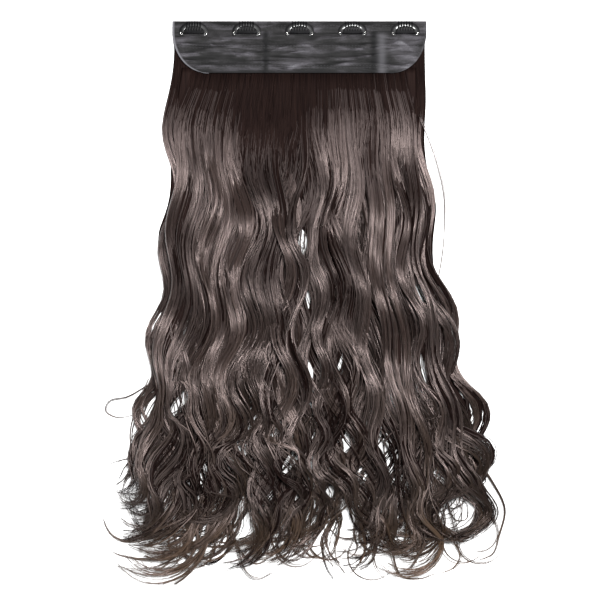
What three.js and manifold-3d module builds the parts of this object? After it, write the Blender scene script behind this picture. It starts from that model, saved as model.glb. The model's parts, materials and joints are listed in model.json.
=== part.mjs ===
// A one-piece clip-in hair extension lying on its hair, with the clip side up.
// Three rows of wavy hair are sewn one above the other under an inclined lace band,
// and five snap clips are sewn along the band's top edge. Each clip is an arched frame
// with a comb that swings on two ears, and is shown closed.
// Millimetres, +Z up, +Y from the hair's ends towards the band's top edge.
// The origin is under the middle of the whole piece, on the surface that it lies on.
import * as THREE from "three";
import { mergeVertices } from "three/addons/utils/BufferGeometryUtils.js";
import Module from "manifold-3d";

const wasm = await Module();
wasm.setup();

// Lace band
const bandWidth = 250;
const bandHeight = 52;
const bandThickness = 1.2;
const bandCornerWidth = 34; // how far the rounded lower corners reach in from the sides
const bandCornerHeight = 42; // and how far up from the lower edge
const bandEdgeDrop = 1.6; // the lower edge sags by this much between its corners
const bandCells = { across: 22, down: 8 };
const ridgeHeight = 0.5; // the sewn rows and gathers stand out of the clip side
const ridgeSpacing = 13;
const flatStrip = 17; // the strip that the clips are sewn to stays flat
// Two upright folds where the lace is joined: their place as a share of the half width,
// their width as a share of the band's height and how far they stand out
const laceFolds = [
  { place: -0.27, width: 0.13, height: 0.9 },
  { place: 0.6, width: 0.13, height: 0.9 },
];

// Hair rows, counted from the one that lies on the surface
const rowNames = ["hair_row_upper", "hair_row_middle", "hair_row_lower"];
const firstRow = 6; // from the band's top edge to the first row's track
const rowSpacing = 20;
const trackHeight = 5;
const trackThickness = 1.6;
const trackInset = 4; // from the end of the track to the band's side
const rootPile = 2.2; // height of one row of hair where it is sewn on
const fullPile = 8; // and where the waves lift it
const tipPile = 4.4; // and at the ends
const rowGap = 0.5;
const seatGap = 0.3;

// Waves and locks
const hairLength = 560; // from the band's top edge to the ends, as it lies
const waveLengthAtBand = 140;
const waveLengthAtEnds = 78;
const swingGrowth = 0.5; // the waves' swing grows by this share towards the ends
const hairSpread = 6; // the outermost locks fan out by this much
const hairShift = -4; // and all of them lie this far to the side of their roots
const edgeRoom = 12; // from the band's side to the middle of the outermost locks
const lockLap = 1; // a lock's width as a share of the spacing of its row's locks
const curlRadius = 40;
const curtainInset = 0.25; // the locks stand out of the closed upper part by this much
const curtainThinning = 0.7; // share of its thickness that it loses towards its lower edge
const lockSides = 6;
const sectionsPerWave = 4;
const curlStep = 24; // between the sections of a curl
const tipShare = 0.14; // a lock's width at its end, as a share of its full width
const rootShare = 0.94; // and where it starts

// Where each change happens along the hair, as shares of its length
const changes = {
  lift: { from: 0.09, to: 0.35 }, // the pile rises to its full height
  settle: { from: 0.75, to: 0.98 }, // and sinks to the height of the ends
  wave: { from: 0.07, to: 0.23 }, // the waves begin
  grow: { from: 0.32, to: 0.71 }, // and swing wider
  lean: { from: 0.2, to: 0.46 }, // the locks take up their slope
  spread: { from: 0.05, to: 0.2 }, // and fan out
  part: { from: 0.15, to: 0.22 }, // the locks part from one closed curtain of hair
};

// The locks of each row, from left to right.
// root: place along the band, as a share of the outermost place.
// swing: steepest slope of its waves, in degrees. lean: slope that it settles to,
// in degrees to the right. crest: how far down it first swings farthest right.
// fall: how far along it its curl begins. Both are shares of the hair's length.
// turn: the curl's angle in degrees, negative to the left. radius: the curl's, as a share.
const locks = [
  { row: 1, root: -0.96, swing: 17, lean: -7, crest: 0.27, fall: 0.87, turn: -150, radius: 0.7 },
  { row: 1, root: -0.74, swing: 17, lean: -6, crest: 0.295, fall: 0.88, turn: -100, radius: 0.9 },
  { row: 1, root: -0.5, swing: 17, lean: -5, crest: 0.32, fall: 0.895, turn: -80, radius: 1.1 },
  { row: 1, root: -0.25, swing: 17, lean: -2, crest: 0.34, fall: 0.905, turn: -60, radius: 1.1 },
  { row: 1, root: 0, swing: 17, lean: 1, crest: 0.355, fall: 0.915, turn: -50, radius: 1.1 },
  { row: 1, root: 0.25, swing: 17, lean: 3, crest: 0.355, fall: 0.92, turn: 50, radius: 1 },
  { row: 1, root: 0.5, swing: 17, lean: 6, crest: 0.35, fall: 0.91, turn: -80, radius: 0.85 },
  { row: 1, root: 0.74, swing: 17, lean: 9, crest: 0.33, fall: 0.89, turn: -120, radius: 0.75 },
  { row: 1, root: 0.96, swing: 14, lean: 13, crest: 0.32, fall: 0.855, turn: -190, radius: 0.7 },
  { row: 2, root: -0.88, swing: 20, lean: -8, crest: 0.275, fall: 0.81, turn: -110, radius: 0.75 },
  { row: 2, root: -0.63, swing: 20, lean: -6, crest: 0.31, fall: 0.825, turn: -100, radius: 1 },
  { row: 2, root: -0.38, swing: 20, lean: -4, crest: 0.34, fall: 0.84, turn: -80, radius: 1.25 },
  { row: 2, root: -0.13, swing: 20, lean: 0, crest: 0.355, fall: 0.85, turn: -60, radius: 1.25 },
  { row: 2, root: 0.13, swing: 20, lean: 2, crest: 0.27, fall: 0.85, turn: -60, radius: 1.25 },
  { row: 2, root: 0.38, swing: 20, lean: 5, crest: 0.42, fall: 0.85, turn: 50, radius: 1 },
  { row: 2, root: 0.63, swing: 20, lean: 9, crest: 0.34, fall: 0.825, turn: -80, radius: 0.9 },
  { row: 2, root: 0.88, swing: 18, lean: 14, crest: 0.32, fall: 0.805, turn: -180, radius: 0.8 },
  { row: 3, root: -0.89, swing: 20, lean: -7, crest: 0.275, fall: 0.725, turn: -90, radius: 0.8 },
  { row: 3, root: -0.67, swing: 20, lean: -6, crest: 0.32, fall: 0.745, turn: -90, radius: 1 },
  { row: 3, root: -0.44, swing: 20, lean: -6, crest: 0.35, fall: 0.765, turn: -90, radius: 1.15 },
  { row: 3, root: -0.22, swing: 20, lean: -2, crest: 0.365, fall: 0.78, turn: -70, radius: 1.25 },
  { row: 3, root: 0, swing: 20, lean: 0, crest: 0.25, fall: 0.785, turn: -50, radius: 1.25 },
  { row: 3, root: 0.22, swing: 20, lean: 4, crest: 0.48, fall: 0.785, turn: 40, radius: 1.25 },
  { row: 3, root: 0.44, swing: 20, lean: 7, crest: 0.48, fall: 0.77, turn: -50, radius: 1 },
  { row: 3, root: 0.67, swing: 20, lean: 10, crest: 0.34, fall: 0.75, turn: -90, radius: 0.85 },
  { row: 3, root: 0.89, swing: 18, lean: 13, crest: 0.33, fall: 0.725, turn: -150, radius: 0.7 },
];

// Snap clips. The clip's own origin is on the band's face, y across the band.
const clipCount = 5;
const clipEndRoom = 21; // from the band's side to the middle of the outermost clip
const clipPitch = (bandWidth - 2 * clipEndRoom) / (clipCount - 1);
const clipFromEdge = 6.2; // from the band's top edge to the clip's origin
const archHalf = 14; // half the arch's width
const archRise = 9; // from the springing of the arch to its top
const archBar = 4.2; // width of the arch's bar
const archLeg = 2.6; // the legs go on below the springing by this much
const archSpringing = -4; // the springing's place from the clip's origin
const archSegments = 4; // on each quarter circle
const archBow = 1.0; // the arch stands off the band by this much at its middle
const frameThickness = 0.8;
const sewingHole = 0.8; // radius of the hole in each foot
const earWidth = 1.2;
const earDepth = 3;
const earRim = 0.5; // metal above the pin's hole
const earLap = 0.2; // from the leg's inner side to the middle of the ear
const pinRadius = 0.6;
const pinClearance = 0.3;
const pinHeight = 2.6; // from the band's face to the comb's pin
const pinSides = 6;
const toothCount = 6;
const toothPitch = 2.6;
const toothWidth = 1.0;
const toothThickness = 0.6;
const toothReach = 12.6; // from the pin to a tooth's tip
const toothLift = 0.3; // the teeth rise from the plate by this much
const toothDip = 1.5; // the tips bend back down by this much
const toothPoint = 0.5; // width of a tooth's tip, as a share of the tooth's width
const spineDepth = 3; // the plate that joins the teeth, from the pin
const spineCells = 4;

const laceMaterial = new THREE.MeshStandardMaterial({ color: "#505157", roughness: 0.7, metalness: 0 });
const hairMaterial = new THREE.MeshStandardMaterial({ color: "#3a3030", roughness: 0.45, metalness: 0 });
const clipMaterial = new THREE.MeshStandardMaterial({ color: "#17171a", roughness: 0.2, metalness: 0.9 });

// 0 before a change, 1 after it, and a smooth rise between
function rise(value, from, to) {
  return THREE.MathUtils.smoothstep(value, from, to);
}

// The same for a change along the hair
function changed(change, distance) {
  return rise(distance / hairLength, change.from, change.to);
}

// A closed geometry as a solid
function solidOf(geometry) {
  const bare = geometry.clone();
  bare.deleteAttribute("normal");
  bare.deleteAttribute("uv");
  const merged = mergeVertices(bare, 1e-4);
  return new wasm.Manifold(
    new wasm.Mesh({
      numProp: 3,
      vertProperties: merged.attributes.position.array,
      triVerts: new Uint32Array(merged.index.array),
    }),
  );
}

function geometryOf(solid) {
  const { vertProperties, triVerts } = solid.getMesh();
  const indexed = new THREE.BufferGeometry()
    .setAttribute("position", new THREE.BufferAttribute(vertProperties, 3))
    .setIndex(new THREE.BufferAttribute(triVerts, 1));
  const faceted = indexed.toNonIndexed();
  faceted.computeVertexNormals();
  return faceted;
}

function namedMesh(name, geometry, material) {
  const mesh = new THREE.Mesh(geometry, material);
  mesh.name = name;
  return mesh;
}

// Moves every vertex of a geometry to where the function puts it
function reshape(geometry, place) {
  const points = geometry.attributes.position;
  const point = new THREE.Vector3();
  for (let i = 0; i < points.count; i++) {
    point.fromBufferAttribute(points, i);
    place(point);
    points.setXYZ(i, point.x, point.y, point.z);
  }
  geometry.computeVertexNormals();
  return geometry;
}

// The band rises by one row's root for each row that passes under it
const bandSlope = rootPile / rowSpacing;
const bandSeat = rootPile + seatGap - bandSlope * (firstRow - trackHeight / 2);

function bandPose() {
  return new THREE.Matrix4()
    .makeRotationX(-Math.atan(bandSlope))
    .setPosition(0, 0, bandSeat);
}

// Half the band's width at a distance down from its top edge
function bandHalfWidth(down) {
  const intoCorner = Math.max(0, (down - (bandHeight - bandCornerHeight)) / bandCornerHeight);
  return bandWidth / 2 - bandCornerWidth * (1 - Math.sqrt(Math.max(0, 1 - intoCorner ** 2)));
}

function bandRelief(x, down) {
  const clear =
    rise(down, flatStrip, flatStrip + ridgeSpacing) * (1 - rise(down, bandHeight - ridgeSpacing, bandHeight));
  let height = ridgeHeight * (0.5 - 0.5 * Math.cos((2 * Math.PI * (down - flatStrip)) / ridgeSpacing));
  for (const fold of laceFolds) {
    const away = (x - (fold.place * bandWidth) / 2) / (fold.width * bandHeight);
    height = Math.max(height, fold.height * Math.exp(-away * away));
  }
  return clear * height;
}

function laceBand() {
  const sheet = new THREE.BoxGeometry(2, 1, 1, bandCells.across, bandCells.down, 1);
  const lowest = 0.98; // the outline stops here, before its corners close to points
  return reshape(sheet, (point) => {
    const share = point.x;
    const down = (0.5 - point.y) * bandHeight;
    const onFace = point.z > 0;
    point.x = share * bandHalfWidth(down * lowest);
    point.y = -down - bandEdgeDrop * (down / bandHeight) ** 4 * (1 - share ** 2);
    point.z = onFace ? bandThickness + bandRelief(point.x, down) : 0;
  });
}

// Height of one row of hair at a distance down from the top edge
function pile(down) {
  const lifted = rootPile + (fullPile - rootPile) * changed(changes.lift, down);
  return lifted - (fullPile - tipPile) * changed(changes.settle, down);
}

// Waves passed on the way down, with the wavelength shortening evenly, and the way back
const shortening = (waveLengthAtBand - waveLengthAtEnds) / hairLength;

function wavesTo(down) {
  return Math.log(waveLengthAtBand / (waveLengthAtBand - shortening * down)) / shortening;
}

function downTo(waves) {
  return (waveLengthAtBand / shortening) * (1 - Math.exp(-shortening * waves));
}

function rootDistance(row) {
  return firstRow + (row - 1) * rowSpacing;
}

const outermost = bandWidth / 2 - edgeRoom;

function lockWidth(row) {
  const roots = locks.filter((lock) => lock.row === row).map((lock) => lock.root);
  return (lockLap * outermost * (Math.max(...roots) - Math.min(...roots))) / (roots.length - 1);
}

function curlLength(lock) {
  return THREE.MathUtils.degToRad(Math.abs(lock.turn)) * lock.radius * curlRadius;
}

// A lock's slope from straight down at a distance along it, in radians to the right
function lockHeading(lock, along) {
  const down = rootDistance(lock.row) + along;
  const fall = lock.fall * hairLength;
  const curling = rise(along, fall - curlRadius / 2, fall + curlRadius / 2);
  const swing = lock.swing * (1 + swingGrowth * changed(changes.grow, along));
  const phase = 2 * Math.PI * (wavesTo(down) - wavesTo(lock.crest * hairLength));
  const wave = -swing * changed(changes.wave, along) * (1 - curling) * Math.sin(phase);
  const curled = Math.min(1, Math.max(0, along - fall) / curlLength(lock));
  return THREE.MathUtils.degToRad(lock.lean * changed(changes.lean, along) + wave + lock.turn * curled);
}

// Where a lock's sections lie along it: where it parts from the curtain, at each
// quarter of a wave counted from its crest, and at even steps of its curl
function sectionPlaces(lock) {
  const start = changes.part.from * hairLength;
  const fall = lock.fall * hairLength;
  const places = [start];
  const crest = wavesTo(lock.crest * hairLength);
  for (let i = -2 * sectionsPerWave; i < 8 * sectionsPerWave; i++) {
    const along = downTo(crest + i / sectionsPerWave) - rootDistance(lock.row);
    if (along > start + curlStep / 2 && along < fall - curlStep / 2) places.push(along);
  }
  const steps = Math.max(2, Math.round(curlLength(lock) / curlStep));
  for (let i = 0; i <= steps; i++) places.push(fall + (curlLength(lock) * i) / steps);
  return places;
}

// The sections of a lock: their middles, slopes and shares of the way along it
function lockSections(lock) {
  const places = sectionPlaces(lock);
  const sections = [];
  let x = lock.root * outermost;
  let y = -rootDistance(lock.row);
  let along = 0;
  for (const place of places) {
    const steps = Math.ceil((place - along) / 5);
    const step = (place - along) / Math.max(1, steps);
    for (let i = 0; i < steps; i++) {
      const slope = lockHeading(lock, along + step / 2);
      x += Math.sin(slope) * step;
      y -= Math.cos(slope) * step;
      along += step;
    }
    const spread = (lock.root * hairSpread + hairShift) * changed(changes.spread, -y);
    sections.push({ x: x + spread, y, slope: lockHeading(lock, place), share: place / places.at(-1) });
  }
  return sections;
}

// Puts a point at a height in a row of hair, from 0 on its lower to 1 on its upper side
function heightInRow(row, down, depth) {
  const height = pile(down);
  return (row - 1) * height + depth * (height - rowGap);
}

// A lock is a flattened tube bent along its path, that thins out in its curl.
// It starts inside the curtain, at half its depth.
function lockSolid(lock) {
  const sections = lockSections(lock);
  const last = sections.length - 1;
  const tube = new THREE.CylinderGeometry(1, 1, 1, lockSides, last, false, Math.PI / 2);
  const flat = Math.cos(Math.PI / lockSides); // the tube's upper and lower sides lie at this height
  const halfWidth = lockWidth(lock.row) / 2;
  return solidOf(
    reshape(tube, (point) => {
      const index = Math.round((0.5 - point.y) * last);
      const section = sections[index];
      const narrowing = 1 - (1 - tipShare) * rise(section.share, 0.7, 1);
      const thinning = 1 - 0.6 * rise(section.share, 0.75, 1);
      const across = point.x * halfWidth * (index ? narrowing : rootShare);
      const level = 0.5 + (0.5 * point.z) / flat;
      point.x = section.x + across * Math.cos(section.slope);
      point.y = section.y + across * Math.sin(section.slope);
      point.z = heightInRow(lock.row, -point.y, index ? level * thinning : (level + 0.5) / 2);
    }),
  );
}

// The closed upper part of a row, before its locks part. It thins out between them.
function curtain(row) {
  const start = rootDistance(row);
  const length = changes.part.to * hairLength;
  const ends = locks.filter((lock) => lock.row === row).map((lock) => Math.abs(lock.root));
  const halfWidth = Math.max(...ends) * outermost + (rootShare * lockWidth(row)) / 2;
  const sheet = new THREE.BoxGeometry(2, 1, 1, 2, 4, 1);
  return solidOf(
    reshape(sheet, (point) => {
      const share = 0.5 - point.y;
      const down = start + share * length;
      const thinning = 1 - curtainThinning * rise(share, 0.5, 1);
      point.x *= halfWidth;
      point.y = -down;
      point.z = heightInRow(row, down, 0.5 + point.z * thinning) - Math.sign(point.z) * curtainInset;
    }),
  );
}

// A row of hair: its curtain and locks, fused to the track that is sewn under the band
function hairRow(row) {
  const down = rootDistance(row);
  const halfLength = bandHalfWidth(down + trackHeight / 2) - trackInset;
  const track = new THREE.BoxGeometry(2 * halfLength, trackHeight, trackThickness)
    .translate(0, -down, -seatGap - trackThickness / 2)
    .applyMatrix4(bandPose());
  let fused = solidOf(track).add(curtain(row));
  for (const lock of locks.filter((each) => each.row === row)) {
    fused = fused.add(lockSolid(lock));
  }
  return geometryOf(fused);
}

const archInner = archHalf - archBar;
const footPlace = archHalf - archBar / 2;
const footLine = archSpringing - archLeg; // the sewing holes and the pin lie on it

// How far the arch and the comb are bowed off the band at a place across the clip
function bow(x) {
  return archBow * (1 - Math.min(1, (x / archHalf) ** 2));
}

function clipFrame() {
  const arch = new THREE.Shape();
  arch.absellipse(0, archSpringing, archHalf, archRise, 0, Math.PI, false);
  arch.absarc(-footPlace, footLine, archBar / 2, Math.PI, 2 * Math.PI, false);
  arch.absellipse(0, archSpringing, archInner, archRise - archBar, Math.PI, 0, true);
  arch.absarc(footPlace, footLine, archBar / 2, Math.PI, 2 * Math.PI, false);
  arch.closePath();
  for (const side of [-1, 1]) {
    const hole = new THREE.Path();
    hole.absarc(side * footPlace, footLine, sewingHole, 0, 2 * Math.PI, true);
    arch.holes.push(hole);
  }
  const plate = new THREE.ExtrudeGeometry(arch, {
    depth: frameThickness,
    bevelEnabled: false,
    curveSegments: archSegments,
  });
  let frame = solidOf(
    reshape(plate, (point) => {
      point.z += seatGap + bow(point.x);
    }),
  );
  const eyeRadius = pinRadius + pinClearance;
  const earTop = pinHeight + eyeRadius + earRim;
  for (const side of [-1, 1]) {
    const place = side * (archInner + earLap);
    const ear = new THREE.BoxGeometry(earWidth, earDepth, earTop - seatGap)
      .translate(place, footLine, (earTop + seatGap) / 2);
    const eye = new THREE.CylinderGeometry(eyeRadius, eyeRadius, 3 * earWidth, pinSides)
      .rotateZ(Math.PI / 2)
      .translate(place, footLine, pinHeight);
    frame = frame.add(solidOf(ear)).subtract(solidOf(eye));
  }
  return geometryOf(frame);
}

// The comb, with its own origin on its pin: the pin, the plate behind it and the teeth
function clipComb() {
  const pinHalf = archInner + earLap + earWidth / 2;
  const spineHalf = archInner + earLap - earWidth / 2 - pinClearance;
  const pin = new THREE.CylinderGeometry(pinRadius, pinRadius, 2 * pinHalf, pinSides).rotateZ(Math.PI / 2);
  const spine = new THREE.BoxGeometry(2 * spineHalf, spineDepth, toothThickness, spineCells, 1, 1)
    .translate(0, spineDepth / 2, 0);
  reshape(spine, (point) => {
    point.z += (bow(point.x) * point.y) / spineDepth;
  });
  let comb = solidOf(pin).add(solidOf(spine));
  const start = spineDepth * 0.6;
  const length = toothReach - start;
  for (let i = 0; i < toothCount; i++) {
    const place = (i - (toothCount - 1) / 2) * toothPitch;
    const tooth = new THREE.BoxGeometry(toothWidth, length, toothThickness, 1, 3, 1)
      .translate(place, start + length / 2, 0);
    reshape(tooth, (point) => {
      const share = (point.y - start) / length;
      const narrowing = 1 - (1 - toothPoint) * rise(share, 0.6, 1);
      point.x = place + (point.x - place) * narrowing;
      point.z += bow(place) + toothLift * rise(share, 0, 0.35) - toothDip * rise(share, 0.65, 1);
    });
    comb = comb.add(solidOf(tooth));
  }
  return geometryOf(comb);
}

const band = new THREE.Group();
band.applyMatrix4(bandPose());
band.add(namedMesh("lace_band", laceBand(), laceMaterial));
for (let i = 0; i < clipCount; i++) {
  const clip = new THREE.Group();
  clip.position.set((i - (clipCount - 1) / 2) * clipPitch, -clipFromEdge, bandThickness);
  clip.add(namedMesh(`clip_frame_${i + 1}`, clipFrame(), clipMaterial));
  const comb = namedMesh(`clip_comb_${i + 1}`, clipComb(), clipMaterial);
  comb.position.set(0, footLine, pinHeight);
  clip.add(comb);
  band.add(clip);
}

const piece = new THREE.Group();
piece.add(band);
rowNames.forEach((name, i) => piece.add(namedMesh(name, hairRow(i + 1), hairMaterial)));

// The origin goes under the middle of the whole piece
const extension = new THREE.Group();
extension.add(piece);
extension.updateMatrixWorld(true);
const box = new THREE.Box3().setFromObject(extension, true);
const middle = box.getCenter(new THREE.Vector3());
piece.position.set(-middle.x, -middle.y, -box.min.z);

export default extension;
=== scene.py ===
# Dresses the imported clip-in hair extension: wavy hair in three sewn rows, the lace band
# that carries them, five snap clips with their combs, and a pale stage.
# Metres, +Z up. The piece lies on its hair with the clip side up.
import json
import math
from collections import namedtuple

import bpy
import numpy as np
from mathutils import Matrix, Vector


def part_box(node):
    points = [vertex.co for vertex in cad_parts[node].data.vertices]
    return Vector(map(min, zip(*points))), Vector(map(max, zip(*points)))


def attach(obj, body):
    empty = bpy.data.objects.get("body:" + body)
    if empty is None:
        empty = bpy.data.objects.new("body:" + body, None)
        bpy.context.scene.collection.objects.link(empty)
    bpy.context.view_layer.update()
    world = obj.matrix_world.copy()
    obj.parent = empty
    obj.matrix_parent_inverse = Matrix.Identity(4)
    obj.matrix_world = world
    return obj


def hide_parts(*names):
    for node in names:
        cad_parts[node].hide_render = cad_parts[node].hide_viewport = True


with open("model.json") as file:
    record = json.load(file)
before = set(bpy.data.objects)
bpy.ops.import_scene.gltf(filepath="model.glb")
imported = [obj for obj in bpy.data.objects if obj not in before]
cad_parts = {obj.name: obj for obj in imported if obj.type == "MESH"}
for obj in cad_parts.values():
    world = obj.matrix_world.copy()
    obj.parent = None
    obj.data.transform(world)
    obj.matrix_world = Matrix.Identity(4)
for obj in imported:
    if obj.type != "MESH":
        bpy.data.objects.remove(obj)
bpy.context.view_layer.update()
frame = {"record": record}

bl_info = {
    "name": "Clip-in hair extension",
    "version": (1, 0, 0),
    "blender": (4, 5, 0),
    "location": "3D View > Sidebar > Hair extension",
    "description": "Models a wavy clip-in hair extension around its frame",
    "category": "Add Mesh",
}

MM = 0.001
ROOT_BODY = "extension"

# The band's own directions, from the face that lies against the wearer
SCALP_FACE = frame["record"]["mounts"][0]
FACE_NORMAL = Vector(SCALP_FACE["axis"]).normalized()
FACE_DOWN = Vector((0, -FACE_NORMAL.z, FACE_NORMAL.y))
BAND_LOW, BAND_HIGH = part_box("lace_band")
BAND_MIDDLE = (BAND_LOW.x + BAND_HIGH.x) / 2
BAND_WIDTH = BAND_HIGH.x - BAND_LOW.x
BAND_HEIGHT = 52 * MM
BAND_THICKNESS = 1.2 * MM
MOUNT_FROM_EDGE = 8.2 * MM
TOP_EDGE = Vector(SCALP_FACE["pos_m"]) - FACE_DOWN * MOUNT_FROM_EDGE - FACE_NORMAL * BAND_THICKNESS
TOP_EDGE.x = BAND_MIDDLE

BAND_CORNER_WIDTH = 34 * MM
BAND_CORNER_HEIGHT = 42 * MM
FLAT_STRIP = 17 * MM

# The net's creases run across, and its two seams stand on lines down the band
CREASES = 60
SEAMS = [-33 * MM, 73 * MM]
# Place across of a painted highlight strip down the band
PAINTED_HIGHLIGHT_ACROSS = 81 * MM
SEAM_WIDTH = 2.8 * MM
RIM_WIDTH = 2.4 * MM
NET_THICKNESS = 0.8 * MM

# Clips: pressed arches with a hinged comb, in millimetres from each clip's own origin
CLIP_COUNT = 5
CLIP_PITCH = 52 * MM
CLIP_FROM_EDGE = 6.2 * MM
ARCH_HALF, ARCH_RISE, ARCH_BAR, ARCH_LEG, ARCH_SPRINGING = 14, 9, 4.2, 2.6, -4
ARCH_BOW = 1.0
FRAME_THICKNESS = 0.8
SEAT_GAP = 0.3
PIN_HEIGHT, PIN_RADIUS = 2.6, 0.6
FOOT_LINE = ARCH_SPRINGING - ARCH_LEG
FOOT_PLACE = ARCH_HALF - ARCH_BAR / 2
TOOTH_COUNT, TOOTH_PITCH, TOOTH_REACH, TOOTH_WIDTH = 6, 2.6, 12.6, 1.6
CROWN = 0.4

# Hair rows, counted from the one that lies on the surface
ROWS = ["hair_row_upper", "hair_row_middle", "hair_row_lower"]
FIRST_ROW = 6 * MM
ROW_SPACING = 20 * MM
ROOT_PILE = 2.2 * MM
SUNK_PILE = 1.3 * MM
FULL_PILE = 8 * MM
TIP_PILE = 4.4 * MM
ROW_GAP = 0.5 * MM

# Waves and locks
HAIR_LENGTH = 560 * MM
WAVELENGTH_AT_BAND = 140 * MM
WAVELENGTH_AT_ENDS = 78 * MM
SWING_GROWTH = 0.5
END_GROWTH = 1.0
HAIR_SPREAD = 6 * MM
HAIR_SHIFT = -4 * MM
EDGE_ROOM = 12 * MM
LOCK_LAP = 1.12
CURL_RADIUS = 40 * MM
OUTERMOST = BAND_WIDTH / 2 - EDGE_ROOM

# Where each change happens along the hair, as shares of its length
Change = namedtuple("Change", "start end")
SINK = Change(0.09, 0.18)
LIFT = Change(0.19, 0.42)
SETTLE = Change(0.75, 0.98)
WAVE = Change(0.07, 0.23)
GROW = Change(0.32, 0.71)
LEAN = Change(0.2, 0.46)
SPREAD = Change(0.05, 0.2)
LOOSEN = Change(0.58, 0.8)

# The locks of each row, from left to right. root: place along the band, as a share of
# the outermost place. swing: steepest slope of its waves, in degrees. lean: slope that
# it settles to, in degrees to the right. crest: how far down it first swings farthest
# right, and fall: how far along it its curl begins, as shares of the hair's length.
# turn: the curl's angle in degrees, negative to the left. radius: the curl's, as a share.
Lock = namedtuple("Lock", "row root swing lean crest fall turn radius")
LOCKS = [
    Lock(1, -0.96, 17, -7, 0.27, 0.87, -150, 0.7),
    Lock(1, -0.74, 17, -6, 0.295, 0.88, -100, 0.9),
    Lock(1, -0.5, 17, -5, 0.32, 0.895, -80, 1.1),
    Lock(1, -0.25, 17, -2, 0.34, 0.905, -60, 1.1),
    Lock(1, 0, 17, 1, 0.355, 0.915, -50, 1.1),
    Lock(1, 0.25, 17, 3, 0.355, 0.92, 50, 1),
    Lock(1, 0.5, 17, 6, 0.35, 0.91, -80, 0.85),
    Lock(1, 0.74, 17, 9, 0.33, 0.89, -120, 0.75),
    Lock(1, 0.96, 14, 13, 0.32, 0.855, -190, 0.7),
    Lock(2, -0.88, 20, -8, 0.275, 0.81, -110, 0.75),
    Lock(2, -0.63, 20, -6, 0.31, 0.825, -100, 1),
    Lock(2, -0.38, 20, -4, 0.34, 0.84, -80, 1.25),
    Lock(2, -0.13, 20, 0, 0.355, 0.85, -60, 1.25),
    Lock(2, 0.13, 20, 2, 0.27, 0.85, -60, 1.25),
    Lock(2, 0.38, 20, 5, 0.42, 0.85, 50, 1),
    Lock(2, 0.63, 20, 9, 0.34, 0.825, -80, 0.9),
    Lock(2, 0.88, 18, 14, 0.32, 0.805, -180, 0.8),
    Lock(3, -0.89, 20, -7, 0.275, 0.725, -90, 0.8),
    Lock(3, -0.67, 20, -6, 0.32, 0.745, -90, 1),
    Lock(3, -0.44, 20, -6, 0.35, 0.765, -90, 1.15),
    Lock(3, -0.22, 20, -2, 0.365, 0.78, -70, 1.25),
    Lock(3, 0, 20, 0, 0.25, 0.785, -50, 1.25),
    Lock(3, 0.22, 20, 4, 0.48, 0.785, 40, 1.25),
    Lock(3, 0.44, 20, 7, 0.48, 0.77, -50, 1),
    Lock(3, 0.67, 20, 10, 0.34, 0.75, -90, 0.85),
    Lock(3, 0.89, 18, 13, 0.33, 0.725, -150, 0.7),
]

# Places where the pile swells, or sinks where the height is negative, on the band's grid
Swell = namedtuple("Swell", "across down width length height")
SWELLS = [Swell(*(value * MM for value in values)) for values in [
    (-29, 132, 38, 50, -5),
    (42, 118, 50, 44, 3.5),
    (-80, 132, 26, 44, 3),
    (70, 164, 22, 46, -4.5),
    (10, 178, 14, 40, -4),
    (-32, 262, 18, 42, -4),
    (43, 280, 14, 50, -4),
    (57, 385, 22, 60, 4),
    (88, 450, 34, 50, -3.5),
    (-95, 465, 42, 50, -3.5),
    (-75, 200, 30, 40, 2.5),
    (100, 215, 24, 40, 2.5),
]]

# Places where the hair parts: through to the surface, or only its upper rows.
# lean is how far the parting moves across for each length that it goes down.
Parting = namedtuple("Parting", "across down width length lean rows")
PARTINGS = [Parting(a * MM, d * MM, w * MM, l * MM, lean, rows) for a, d, w, l, lean, rows in [
    (3, 217, 5, 22, 0.12, 1),
    (-117, 374, 7, 22, -0.7, 1),
    (-24, 404, 5.5, 13, -0.7, 1),
    (-9, 433, 7, 21, -0.5, 1),
    (-109, 453, 4, 12, 0.5, 1),
    (30, 461, 5, 13, 0, 1),
    (155, 484, 20, 28, 0, 1),
    (118, 267, 3.5, 20, 0.4, 1),
    (121, 341, 3, 28, 0.2, 1),
    (88, 431, 4, 45, 0.2, 2),
    (-95, 450, 4, 45, -0.2, 2),
]]


def parted(row, across, down, lead=None):
    """Places across after the hair parts. Each path keeps to the side where its lead passes."""
    lead_across, lead_down = lead or (across, down)
    rows = np.arange(len(across))
    for parting in PARTINGS:
        if row < parting.rows:
            continue
        passes = lead_across[rows, np.abs(lead_down - parting.down).argmin(1)]
        side = np.where(passes < parting.across, -1, 1).reshape(-1, *[1] * (across.ndim - 1))
        line = parting.across + parting.lean * (down - parting.down)
        open_share = np.cos(np.clip((down - parting.down) / parting.length, -1, 1) * math.pi / 2) ** 1.5
        place = (across - line) * side / parting.width
        inside = np.where(place < 0, place * (1 - open_share) ** 3, place * (1 - open_share / 4))
        across = line + side * parting.width * np.where(place < 4, open_share + inside, place)
    return across


# Just under the band the hair dips towards the surface before it rises
DIP_AT = 100 * MM
DIP_LENGTH = 50 * MM
DIP_DEPTH = 1.2 * MM
LIFT_PHASE = 0.6

# The body of each row, in painted shade, widens by this share and narrows again lower down, and ends at this share of
# its locks' length
BODY_WIDENED = [0.18, 0, 0]
BODY_NARROWED = [0.12, 0.3, 0.3]
BODY_REACH = 0.82

# This share of the strands lie deep in the row, between its bundles
BETWEEN_SHARE = 0.4

# and this share cross the places where the hair parts
CROSSING_SHARE = 0.05

# Each strand swerves by itself: wavelengths and slopes in degrees. A few swerve more.
SWERVES = ((230 * MM, 0.7), (95 * MM, 0.9), (48 * MM, 1.0))
RESTLESS_SHARE, RESTLESS_GAIN = 0.05, 1.8

# Over these lengths a strand sinks and rises in its row, and a bundle rolls
WEAVE_LENGTH, ROLL_LENGTH = 190 * MM, 120 * MM

# Every row is sewn on this far inside the band's rim, and fans out over this distance
ROOT_ROOM = 6 * MM
ROOT_FAN = 60 * MM

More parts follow.
